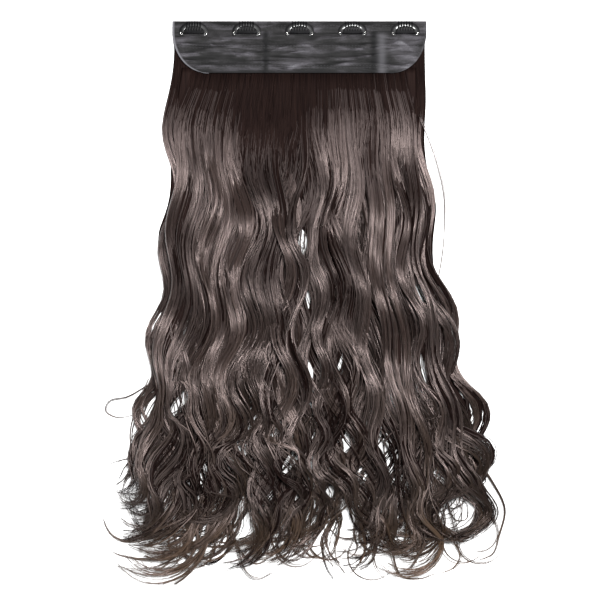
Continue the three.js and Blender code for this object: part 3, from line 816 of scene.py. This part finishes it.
class MESH_OT_hair_rows(bpy.types.Operator):
    """Model the three rows of wavy hair: grooved bodies and loose strands"""
    bl_idname = "mesh.hair_rows"
    bl_label = "Hair rows"

    def execute(self, context):
        settings = context.scene.hair_settings
        rng = np.random.default_rng(settings.seed)
        glossy, matt = hair_material(settings), painted_shade_material(settings)
        wisps = wisp_piece(settings, np.random.default_rng(settings.seed + 3))
        wisps.data.materials.append(glossy)
        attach(wisps, ROOT_BODY)
        for row, node in enumerate(ROWS, 1):
            body = body_piece(f"hair_body_{row}", row, settings)
            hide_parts(node)
            pieces = [body]
            bundles = row_bundles(row, settings, rng)
            for i in range(2):
                drawn = rng if i == 0 or row == 1 else np.random.default_rng(settings.seed + 10 * row)
                strands = strand_piece(f"hair_strands_{row}_{i + 1}", row, bundles, settings, drawn, settings.strands)
                pieces.append(strands)
            for piece in pieces:
                # The first material, the painted shade one, colours the whole body and the strands' faces in painted
                # shade
                piece.data.materials.append(matt)
                piece.data.materials.append(glossy)
                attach(piece, ROOT_BODY)
        return {"FINISHED"}


def on_band(across, down, height):
    """Places in the scene from places across and down the band and out from its back."""
    return (
        np.asarray(across)[..., None] * np.array((1.0, 0, 0))
        + np.asarray(down)[..., None] * np.array(FACE_DOWN)
        + np.asarray(height)[..., None] * np.array(FACE_NORMAL)
        + np.array(TOP_EDGE)
    )


def band_half_width(down):
    into = np.clip((down - (BAND_HEIGHT - BAND_CORNER_HEIGHT)) / BAND_CORNER_HEIGHT, 0, 1)
    return BAND_WIDTH / 2 - BAND_CORNER_WIDTH * (1 - np.sqrt(1 - into ** 2))


def creased(across, down, rng):
    """Height of the net's creases: many low folds that run across the band."""
    height = np.zeros_like(across)
    for i in range(CREASES):
        middle = rng.uniform(-0.5, 0.5) * BAND_WIDTH
        level = rng.uniform(12, 50) * MM
        half, width = rng.uniform(8, 30) * MM, rng.uniform(0.9, 2.6) * MM
        tilt, sag = rng.normal(0, 0.09), rng.normal(0, 2.2) * MM
        place = (across - middle) / half
        line = level + tilt * (across - middle) + sag * (1 - place ** 2)
        fold = np.exp(-((down - line) / width) ** 2) * np.exp(-place ** 2 * 1.5)
        height = np.maximum(height, rng.uniform(0.5, 1.5) * MM * fold)
    return height


def new_primitive(add, **settings):
    """A primitive at the origin, alone selected, and open in edit mode."""
    bpy.ops.object.select_all(action="DESELECT")
    add(location=(0, 0, 0), **settings)
    bpy.ops.object.mode_set(mode="EDIT")
    bpy.ops.mesh.select_all(action="SELECT")
    return bpy.context.active_object


def pick(piece, wanted, kind="VERT"):
    """Select in edit mode the corners, edges or faces whose middle is wanted."""
    bpy.ops.mesh.select_mode(type=kind)
    bpy.ops.mesh.select_all(action="DESELECT")
    bpy.ops.object.mode_set(mode="OBJECT")
    mesh = piece.data
    for element in {"VERT": mesh.vertices, "EDGE": mesh.edges, "FACE": mesh.polygons}[kind]:
        corners = [element.index] if kind == "VERT" else element.vertices
        middle = sum((mesh.vertices[corner].co for corner in corners), Vector()) / len(corners)
        element.select = wanted(middle)
    bpy.ops.object.mode_set(mode="EDIT")


def finished(piece, *modifiers):
    """Back in object mode, with the modifiers applied in order and smooth faces."""
    bpy.ops.object.mode_set(mode="OBJECT")
    bpy.context.view_layer.objects.active = piece
    for kind, settings in modifiers:
        modifier = piece.modifiers.new(kind.lower(), kind)
        for name, value in settings.items():
            setattr(modifier, name, value)
        bpy.ops.object.modifier_apply(modifier=modifier.name)
    bpy.ops.object.shade_smooth_by_angle(angle=math.radians(40))
    return piece


def net_piece(rng):
    """The lace net that carries the hair: creased, seamed and turned in round its edge. Its named values also carry
    painted light: tops of the creases painted lighter, painted shade along the seams and the lower edge, and a
    painted highlight on the turned hem and on a strip down the band.
    """
    net = new_primitive(bpy.ops.mesh.primitive_grid_add, size=2, x_subdivisions=210, y_subdivisions=48)
    net.name = net.data.name = "lace_net"
    bpy.ops.object.mode_set(mode="OBJECT")
    spots = np.empty(len(net.data.vertices) * 3, np.float32)
    net.data.vertices.foreach_get("co", spots)
    u, v = spots.reshape(-1, 3)[:, 0].astype(float), (1 - spots.reshape(-1, 3)[:, 1].astype(float)) / 2
    down = BAND_HEIGHT * (1 - np.clip(1 - v, 0, 1) ** 1.2)
    across = u * band_half_width(down)
    beside = band_half_width(down) - np.abs(across)
    inner = smooth(FLAT_STRIP - 6 * MM, FLAT_STRIP + 3 * MM, down)
    inner = inner * smooth(0, 4 * MM, np.minimum(beside, BAND_HEIGHT - down))
    height = creased(across, down, rng) * (0.15 + 0.85 * inner)
    # The tops of the creases are painted lighter: painted light
    painted_crease_light = height / (1.5 * MM)
    for row in range(1, 4):
        height = np.maximum(height, 0.45 * MM * np.exp(-((down - root_distance(row)) / (2.4 * MM)) ** 2))
    # Along the seams the net is doubled and raised, and darkened further as painted shade
    seam_and_painted_shade = sum(np.exp(-np.clip(np.abs(across - place) / SEAM_WIDTH, 0, 9) ** 2) for place in SEAMS)
    seam_and_painted_shade = seam_and_painted_shade * smooth(FLAT_STRIP - 8 * MM, FLAT_STRIP - 4 * MM, down)
    height += 0.5 * MM * seam_and_painted_shade
    # The turned hem is raised, and painted paler as a highlight, mostly on the left
    hem_and_painted_highlight = (1 - smooth(0.6 * RIM_WIDTH, RIM_WIDTH, beside)) * (0.15 + 0.85 * (across < 0))
    # Painted shade along the band's lower edge
    seam_and_painted_shade = np.maximum(seam_and_painted_shade, 0.9 * (1 - smooth(0, 5 * MM, BAND_HEIGHT - down)))
    height += 0.4 * MM * hem_and_painted_highlight * np.sqrt(np.clip(beside / (0.4 * RIM_WIDTH), 0, 1))
    # A painted highlight strip down the band, right of the second of the seams
    painted_highlight_strip = np.exp(-((across - PAINTED_HIGHLIGHT_ACROSS) / (4 * MM)) ** 2) * smooth(FLAT_STRIP - 8 * MM, FLAT_STRIP, down)
    hem_and_painted_highlight = np.maximum(hem_and_painted_highlight, 0.4 * painted_highlight_strip)
    top = on_band(across, down, NET_THICKNESS + 0.1 * MM + height)
    net.data.vertices.foreach_set("co", top.astype(np.float32).ravel())
    for name, values in (("seam_and_painted_shade", seam_and_painted_shade), ("hem_and_painted_highlight", hem_and_painted_highlight), ("painted_crease_light", painted_crease_light)):
        net.data.attributes.new(name, "FLOAT", "POINT").data.foreach_set("value", values.astype(np.float32))
    return finished(net, ("SOLIDIFY", {"thickness": NET_THICKNESS, "offset": -1}))


def stitch_piece(rng):
    """Lock stitches along the three sewn rows, in black thread."""
    points = []
    for row in range(1, 4):
        for shift in (-1.1, 1.1):
            half = band_half_width(root_distance(row)) - 5 * MM
            for middle in np.arange(-half, half, 3.2 * MM):
                t = np.linspace(-1, 1, 5)
                across = middle + 1.25 * MM * t + rng.normal(0, 0.1) * MM
                down = root_distance(row) + shift * MM + 0.25 * MM * t * (1 if shift > 0 else -1)
                height = NET_THICKNESS + (0.62 + 0.16 * (1 - t ** 2)) * MM
                points.append(on_band(across, down + np.zeros(5), height))
    points = np.array(points)
    radii = np.full(points.shape[:2], 0.17 * MM) * np.array([0.6, 1, 1, 1, 0.6])
    vertices, faces = tubes(points, radii, 5)
    return mesh_piece("track_stitches", vertices, faces)


def net_material():
    """Dark nylon lace net: fine cells, and streaks across that are painted sheen on the creased net. The tops of the
    creases are painted lighter as painted light, the seams are doubled and darker with painted shade there and along
    the lower edge, and the turned hem is painted paler as a highlight.
    """
    material, tree, shader = new_material("nylon_lace_net")
    painted_crease_light, seam_and_painted_shade, hem_and_painted_highlight = (attribute(tree, name) for name in ("painted_crease_light", "seam_and_painted_shade", "hem_and_painted_highlight"))
    # The streaks across are painted sheen on the creased net
    streaks = {"Scale": 1, "Detail": 2, "Roughness": 0.5, "Distortion": 0.8}
    fine = texture(tree, "ShaderNodeTexNoise", streaks, (30, 210, 210))
    broad = texture(tree, "ShaderNodeTexNoise", {"Scale": 1, "Detail": 2}, (42, 70, 70))
    both = add_node(tree, "ShaderNodeMath", {"operation": "MULTIPLY_ADD", 1: 0.55})
    tree.links.new(fine.outputs["Fac"], both.inputs[0])
    halved = add_node(tree, "ShaderNodeMath", {"operation": "MULTIPLY", 1: 0.45}, {0: broad.outputs["Fac"]})
    tree.links.new(halved.outputs[0], both.inputs[2])
    # Tops of the creases painted lighter: painted light
    wear_and_painted_light = add_node(tree, "ShaderNodeMath", {"operation": "MULTIPLY_ADD", 1: 0.2}, {0: painted_crease_light, 2: both.outputs[0]})
    # The cells lie 1.1 mm apart, coarser than a real net's, so that they show
    netting = {"feature": "DISTANCE_TO_EDGE", "Scale": 900, "Randomness": 0.45}
    cells = texture(tree, "ShaderNodeTexVoronoi", netting)
    holes = add_node(tree, "ShaderNodeMapRange", {1: 0.08, 2: 0.3, 3: 0.05, 4: -0.1}, {0: cells.outputs[0]})
    knotted = add_node(tree, "ShaderNodeMath", {"operation": "ADD"}, {0: wear_and_painted_light.outputs[0], 1: holes.outputs[0]})
    stops = [(0.42, "#101010"), (0.56, "#242324"), (0.69, "#403e42"), (0.84, "#626165")]
    net = add_node(tree, "ShaderNodeValToRGB", {"stops": stops}, {"Fac": knotted.outputs[0]})
    # Darker along the seams and the lower edge: doubled net and painted shade
    seamed = add_node(tree, "ShaderNodeMix", {"data_type": "RGBA"}, {0: seam_and_painted_shade, 6: net.outputs["Color"]})
    seamed.inputs[7].default_value = (*linear("#101011"), 1)
    # Paler on the turned hem and the strip: painted highlight
    with_painted_highlight = add_node(tree, "ShaderNodeMix", {"data_type": "RGBA"}, {0: hem_and_painted_highlight, 6: seamed.outputs[2]})
    with_painted_highlight.inputs[7].default_value = (*linear("#5e5d61"), 1)
    tree.links.new(with_painted_highlight.outputs[2], shader.inputs["Base Color"])
    shader.inputs["Roughness"].default_value = 0.6
    shader.inputs["Specular IOR Level"].default_value = 0.08
    bump = add_node(tree, "ShaderNodeBump", {"Strength": 0.35, "Distance": 0.3 * MM}, {"Height": cells.outputs[0]})
    tree.links.new(bump.outputs[0], shader.inputs["Normal"])
    return material


def thread_material():
    """Waxed black polyester sewing thread with a fine twist: small dull grey dashes."""
    material, tree, shader = new_material("sewing_thread")
    twist = texture(tree, "ShaderNodeTexWave", {"Scale": 700, "Distortion": 1})
    coloured(tree, shader, twist.outputs["Fac"], [(0, "#17171a"), (1, "#2e2d31")])
    shader.inputs["Roughness"].default_value = 0.5
    return material


def clip_place(i):
    """Where a clip's own origin and directions lie in the scene, for lengths in millimetres."""
    across = (i - (CLIP_COUNT - 1) / 2) * CLIP_PITCH
    origin = TOP_EDGE + Vector((across, 0, 0)) + FACE_DOWN * CLIP_FROM_EDGE + FACE_NORMAL * BAND_THICKNESS
    turned = Matrix(((1, 0, 0), -FACE_DOWN, FACE_NORMAL)).transposed().to_4x4()
    return Matrix.Translation(origin) @ turned @ Matrix.Scale(MM, 4)


def bow(across):
    return ARCH_BOW * (1 - np.minimum(1, (across / ARCH_HALF) ** 2))


def arch_piece():
    """The pressed arch in millimetres: a crowned half ring with legs and round feet."""
    half = ARCH_BAR / 2
    foot_end = FOOT_LINE - half
    arch = new_primitive(bpy.ops.mesh.primitive_circle_add, vertices=72, radius=1, fill_type="NGON")
    bpy.ops.transform.resize(value=(ARCH_HALF, ARCH_RISE, 1))
    bpy.ops.mesh.bisect(plane_co=(0, 0, 0), plane_no=(0, 1, 0), clear_inner=True)
    bpy.ops.mesh.select_all(action="SELECT")
    bpy.ops.transform.translate(value=(0, ARCH_SPRINGING, 0))
    pick(arch, lambda spot: spot.y < ARCH_SPRINGING + 0.01, "EDGE")
    bpy.ops.mesh.extrude_region_move(TRANSFORM_OT_translate={"value": (0, foot_end - ARCH_SPRINGING, 0)})
    bpy.ops.mesh.select_mode(type="FACE")
    bpy.ops.mesh.select_all(action="SELECT")
    for step in range(2):
        bpy.ops.mesh.inset(thickness=half, use_even_offset=True)
    bpy.ops.mesh.delete(type="FACE")
    pick(arch, lambda spot: abs(spot.x) < 1 and spot.y < ARCH_SPRINGING - 0.1, "FACE")
    bpy.ops.mesh.delete(type="FACE")
    # The bar's middle line stands up, and each foot ends square before it is rounded
    bpy.ops.mesh.select_mode(type="VERT")
    bpy.ops.mesh.select_non_manifold(extend=False)
    bpy.ops.mesh.select_all(action="INVERT")
    bpy.ops.transform.translate(value=(0, 0, CROWN))
    pick(arch, lambda spot: spot.y < ARCH_SPRINGING - 0.1)
    bpy.ops.transform.resize(value=(1, 0, 1), center_override=(0, foot_end, 0))
    pick(arch, lambda spot: spot.y < ARCH_SPRINGING - 0.1 and abs(abs(spot.x) - FOOT_PLACE) > half - 0.1)
    bpy.ops.mesh.bevel(offset=0.94 * half, segments=6, affect="VERTICES")
    finished(
        arch, ("SOLIDIFY", {"thickness": FRAME_THICKNESS, "offset": 1}),
        ("BEVEL", {"width": 0.22, "segments": 2, "limit_method": "ANGLE", "angle_limit": math.radians(50)}),
        ("SUBSURF", {"levels": 1, "render_levels": 1}),
    )
    for vertex in arch.data.vertices:
        vertex.co.z += SEAT_GAP + bow(vertex.co.x)
    return arch


def drawn_bar(size, spots, taper):
    """A bar in millimetres whose end is extruded from spot to spot, tapering at the last two."""
    bar = new_primitive(bpy.ops.mesh.primitive_cube_add, size=1)
    first, second = Vector(spots[0]), Vector(spots[1])
    bpy.ops.transform.resize(value=size)
    bpy.ops.transform.translate(value=(first + second) / 2)
    ahead = (second - first).normalized()
    bpy.ops.object.mode_set(mode="OBJECT")
    end = max(polygon.center.dot(ahead) for polygon in bar.data.polygons)
    bpy.ops.object.mode_set(mode="EDIT")
    pick(bar, lambda spot: spot.dot(ahead) > end - 0.01, "FACE")
    for i, spot in enumerate(spots[2:], 3):
        step = Vector(spot) - Vector(spots[i - 2])
        bpy.ops.mesh.extrude_region_move(TRANSFORM_OT_translate={"value": step})
        if i > len(spots) - 2:
            bpy.ops.transform.resize(value=taper, center_override=Vector(spot) + step / 2)
    return finished(bar, ("BEVEL", {"width": 0.12, "segments": 2}), ("SUBSURF", {"levels": 1, "render_levels": 1}))


def joined(name, pieces):
    """Several pieces as one."""
    bpy.ops.object.select_all(action="DESELECT")
    for piece in pieces:
        piece.select_set(True)
    bpy.context.view_layer.objects.active = pieces[0]
    bpy.ops.object.join()
    pieces[0].name = name
    return pieces[0]


def copied(piece, name, place):
    """A copy of a piece with its own mesh, moved to a place."""
    copy = piece.copy()
    copy.data = piece.data.copy()
    copy.name = copy.data.name = name
    copy.data.transform(place)
    bpy.context.scene.collection.objects.link(copy)
    return copy


def comb_piece():
    """The hinged comb in millimetres from its pin: the pin, its plate and six curved teeth."""
    inner = ARCH_HALF - ARCH_BAR
    pin = new_primitive(
        bpy.ops.mesh.primitive_cylinder_add, vertices=20, radius=PIN_RADIUS, depth=2 * (inner + 0.8),
        end_fill_type="NGON")
    bpy.ops.transform.rotate(value=math.pi / 2, orient_axis="Y", center_override=(0, 0, 0))
    finished(pin, ("BEVEL", {"width": 0.12, "segments": 2, "limit_method": "ANGLE"}))
    line = np.linspace(-1, 1, 11) * (inner - 0.9)
    plate = drawn_bar((line[1] - line[0], 3.8, 0.6), [(x, 2, 0.35 * bow(x) - 0.2) for x in line], (1, 0.9, 0.9))
    shares = np.linspace(0, 1, 13)
    rise = 0.3 * smooth(0, 0.35, shares) - 1.5 * smooth(0.65, 1, shares) - 0.3 * (1 - smooth(0, 0.2, shares))
    run = 2 + (TOOTH_REACH - 2.4) * shares
    tooth = drawn_bar((TOOTH_WIDTH, run[1] - run[0], 0.6), [(0, y, z) for y, z in zip(run, rise)], (0.75, 1, 0.8))
    teeth = []
    for i in range(TOOTH_COUNT):
        across = (i - (TOOTH_COUNT - 1) / 2) * TOOTH_PITCH
        teeth.append(copied(tooth, "tooth", Matrix.Translation((across, 0, bow(across)))))
    bpy.data.objects.remove(tooth)
    return joined("comb", [pin, plate, *teeth])


def eyelet_piece():
    """A rolled eyelet in millimetres: its lip, and the sleeve that goes down through the foot."""
    eyelet = new_primitive(bpy.ops.mesh.primitive_circle_add, vertices=12, radius=0.4)
    bpy.ops.transform.rotate(value=math.pi / 2, orient_axis="X", center_override=(0, 0, 0))
    bpy.ops.transform.resize(value=(1, 1, 0.7))
    bpy.ops.transform.translate(value=(1.1, 0, 0.2))
    pick(eyelet, lambda spot: spot.z < 0.1)
    bpy.ops.transform.translate(value=(-0.12, 0, -0.7))
    bpy.ops.mesh.select_all(action="SELECT")
    bpy.ops.mesh.spin(steps=28, angle=2 * math.pi, center=(0, 0, 0), axis=(0, 0, 1))
    bpy.ops.mesh.select_all(action="SELECT")
    bpy.ops.mesh.remove_doubles(threshold=0.001)
    bpy.ops.mesh.normals_make_consistent(inside=False)
    return finished(eyelet)


def sewn_arrays(rng):
    """Thread that wraps each foot of a clip and goes through its eyelet."""
    points = []
    for foot in (-1, 1):
        for turn in np.radians([200, 235, 270, 305, 340]):
            t = np.linspace(0, 1, 9)
            reach = (ARCH_BAR / 2 + 0.5) * t
            over = SEAT_GAP + FRAME_THICKNESS + 0.75 - 1.6 * smooth(0.72, 1, t) - 0.5 * (1 - smooth(0, 0.2, t))
            points.append(np.stack([
                foot * FOOT_PLACE + reach * math.cos(turn + rng.normal(0, 0.05)),
                FOOT_LINE + reach * math.sin(turn), over], -1))
    points = np.array(points)
    return tubes(points, np.full(points.shape[:2], 0.2), 6)


def enamel_material(name, gloss, coat):
    """Black baked enamel on spring steel, with a fine grain. The arches have a clear coat and
    gleam, and the combs are dull and read as dark blocks."""
    material, tree, shader = new_material(name)
    grain = texture(tree, "ShaderNodeTexNoise", {"Scale": 350, "Detail": 4}).outputs["Fac"]
    coloured(tree, shader, grain, [(0.3, "#040405"), (0.7, "#0b0b0d")])
    rough = add_node(tree, "ShaderNodeMapRange", {3: 0.35, 4: 0.5}, {0: grain})
    tree.links.new(rough.outputs[0], shader.inputs["Roughness"])
    shader.inputs["Specular IOR Level"].default_value = gloss
    shader.inputs["Coat Weight"].default_value = coat
    shader.inputs["Coat Roughness"].default_value = 0.05
    return material


def nickel_material():
    """Nickel-plated brass, rolled: small bright rings, a little uneven from handling."""
    material, tree, shader = new_material("nickel_plate")
    wear_and_painted_light = texture(tree, "ShaderNodeTexNoise", {"Scale": 600, "Detail": 3})
    coloured(tree, shader, wear_and_painted_light.outputs["Fac"], [(0.3, "#a9a7a4"), (0.7, "#d8d6d2")])
    shader.inputs["Metallic"].default_value = 1
    shader.inputs["Roughness"].default_value = 0.22
    return material


class MESH_OT_lace_band(bpy.types.Operator):
    """Model the lace net that carries the hair, with its creases, seams and stitches"""
    bl_idname = "mesh.lace_band"
    bl_label = "Lace band"

    def execute(self, context):
        rng = np.random.default_rng(context.scene.hair_settings.seed + 1)
        net = net_piece(rng)
        net.data.materials.append(net_material())
        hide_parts("lace_band")
        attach(net, ROOT_BODY)
        stitches = stitch_piece(rng)
        stitches.data.materials.append(thread_material())
        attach(stitches, ROOT_BODY)
        return {"FINISHED"}


class MESH_OT_snap_clips(bpy.types.Operator):
    """Model the five clips: pressed arches, eyelets, combs and the thread that holds them"""
    bl_idname = "mesh.snap_clips"
    bl_label = "Clips"

    def execute(self, context):
        rng = np.random.default_rng(context.scene.hair_settings.seed + 2)
        enamel = enamel_material("black_enamelled_steel", 0.2, 0.3)
        dull = enamel_material("black_comb_steel", 0.06, 0)
        nickel, thread = nickel_material(), thread_material()
        arch, comb, eyelet = arch_piece(), comb_piece(), eyelet_piece()
        eyelets = joined("eyelets", [
            copied(eyelet, "one_eyelet",
                   Matrix.Translation((side * FOOT_PLACE, FOOT_LINE, SEAT_GAP + FRAME_THICKNESS)))
            for side in (-1, 1)
        ])
        for i in range(CLIP_COUNT):
            place, number = clip_place(i), i + 1
            at_pin = place @ Matrix.Translation((0, FOOT_LINE, PIN_HEIGHT))
            vertices, faces = sewn_arrays(rng)
            sewn = mesh_piece(f"clip_thread_{number}", vertices, faces)
            sewn.data.transform(place)
            arch_copy = copied(arch, f"clip_arch_{number}", place)
            comb_copy = copied(comb, f"clip_teeth_{number}", at_pin)
            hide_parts(f"clip_frame_{number}")
            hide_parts(f"clip_comb_{number}")
            for piece, material, body in (
                (arch_copy, enamel, ROOT_BODY), (comb_copy, dull, f"comb_{number}"),
                (copied(eyelets, f"clip_eyelets_{number}", place), nickel, ROOT_BODY), (sewn, thread, ROOT_BODY),
            ):
                piece.data.materials.append(material)
                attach(piece, body)
        for piece in (arch, comb, eyelet, eyelets):
            bpy.data.objects.remove(piece)
        return {"FINISHED"}


# Name, place, size in metres and power in watts
LIGHTS = [("key_light", (0.2, 0.3, 1.68), 0.42, 64), ("fill_light", (-0.9, -0.7, 1.4), 0.8, 13)]
WORLD_STRENGTH = 0.11


class StageSettings(bpy.types.PropertyGroup):
    photo_width: bpy.props.FloatProperty(
        name="Width in view", description="Width that the picture takes in at the hair", default=588 * MM,
        unit="LENGTH")
    top_margin: bpy.props.FloatProperty(
        name="Top margin", description="Room above the band in the picture", default=19.6 * MM, unit="LENGTH")
    lens: bpy.props.FloatProperty(name="Lens", description="Focal length in millimetres", default=100)


class SCENE_OT_stage(bpy.types.Operator):
    """Set up the pale floor, the soft lights and the camera above the piece"""
    bl_idname = "scene.extension_stage"
    bl_label = "Stage"

    def execute(self, context):
        settings = context.scene.stage_settings
        bpy.ops.object.select_all(action="DESELECT")
        bpy.ops.mesh.primitive_plane_add(size=12, location=(0, 0, -0.2 * MM))
        floor = context.active_object
        floor.name = "floor"
        material, _, shader = new_material("pale_floor")
        shader.inputs["Base Color"].default_value = (*linear("#fbfbfb"), 1)
        shader.inputs["Roughness"].default_value = 0.9
        floor.data.materials.append(material)

        world = bpy.data.worlds.new("studio")
        context.scene.world = world
        world.use_nodes = True
        background = world.node_tree.nodes["Background"]
        background.inputs["Color"].default_value = (1, 1, 1, 1)
        background.inputs["Strength"].default_value = WORLD_STRENGTH
        for name, place, size, power in LIGHTS:
            light = bpy.data.lights.new(name, "AREA")
            light.size = size
            light.energy = power
            lamp = bpy.data.objects.new(name, light)
            lamp.location = place
            lamp.rotation_euler = (-Vector(place)).to_track_quat("-Z", "Y").to_euler()
            context.scene.collection.objects.link(lamp)

        camera_data = bpy.data.cameras.new("camera")
        camera_data.lens = settings.lens
        camera = bpy.data.objects.new("camera", camera_data)
        distance = settings.photo_width * settings.lens / camera_data.sensor_width
        middle = TOP_EDGE.y + settings.top_margin - settings.photo_width / 2
        camera.location = (BAND_MIDDLE + 0.5 * MM, middle, distance + 10 * MM)
        camera_data.clip_end = 20
        context.scene.collection.objects.link(camera)
        context.scene.camera = camera
        context.scene.view_settings.view_transform = "Standard"
        return {"FINISHED"}


class VIEW3D_PT_extension(bpy.types.Panel):
    """Lists the steps that model the extension"""
    bl_label = "Hair extension"
    bl_idname = "VIEW3D_PT_extension"
    bl_space_type = "VIEW_3D"
    bl_region_type = "UI"
    bl_category = "Hair extension"

    def draw(self, context):
        for step in STEPS:
            self.layout.operator(step.bl_idname)


STEPS = [MESH_OT_hair_rows, MESH_OT_lace_band, MESH_OT_snap_clips, SCENE_OT_stage]
CLASSES = [HairSettings, StageSettings, *STEPS, VIEW3D_PT_extension]


def register():
    for cls in CLASSES:
        bpy.utils.register_class(cls)
    bpy.types.Scene.hair_settings = bpy.props.PointerProperty(type=HairSettings)
    bpy.types.Scene.stage_settings = bpy.props.PointerProperty(type=StageSettings)


def unregister():
    del bpy.types.Scene.stage_settings
    del bpy.types.Scene.hair_settings
    for cls in reversed(CLASSES):
        bpy.utils.unregister_class(cls)


def main():
    register()
    bpy.ops.mesh.hair_rows()
    bpy.ops.mesh.lace_band()
    bpy.ops.mesh.snap_clips()
    bpy.ops.scene.extension_stage()


if __name__ == "__main__":
    main()
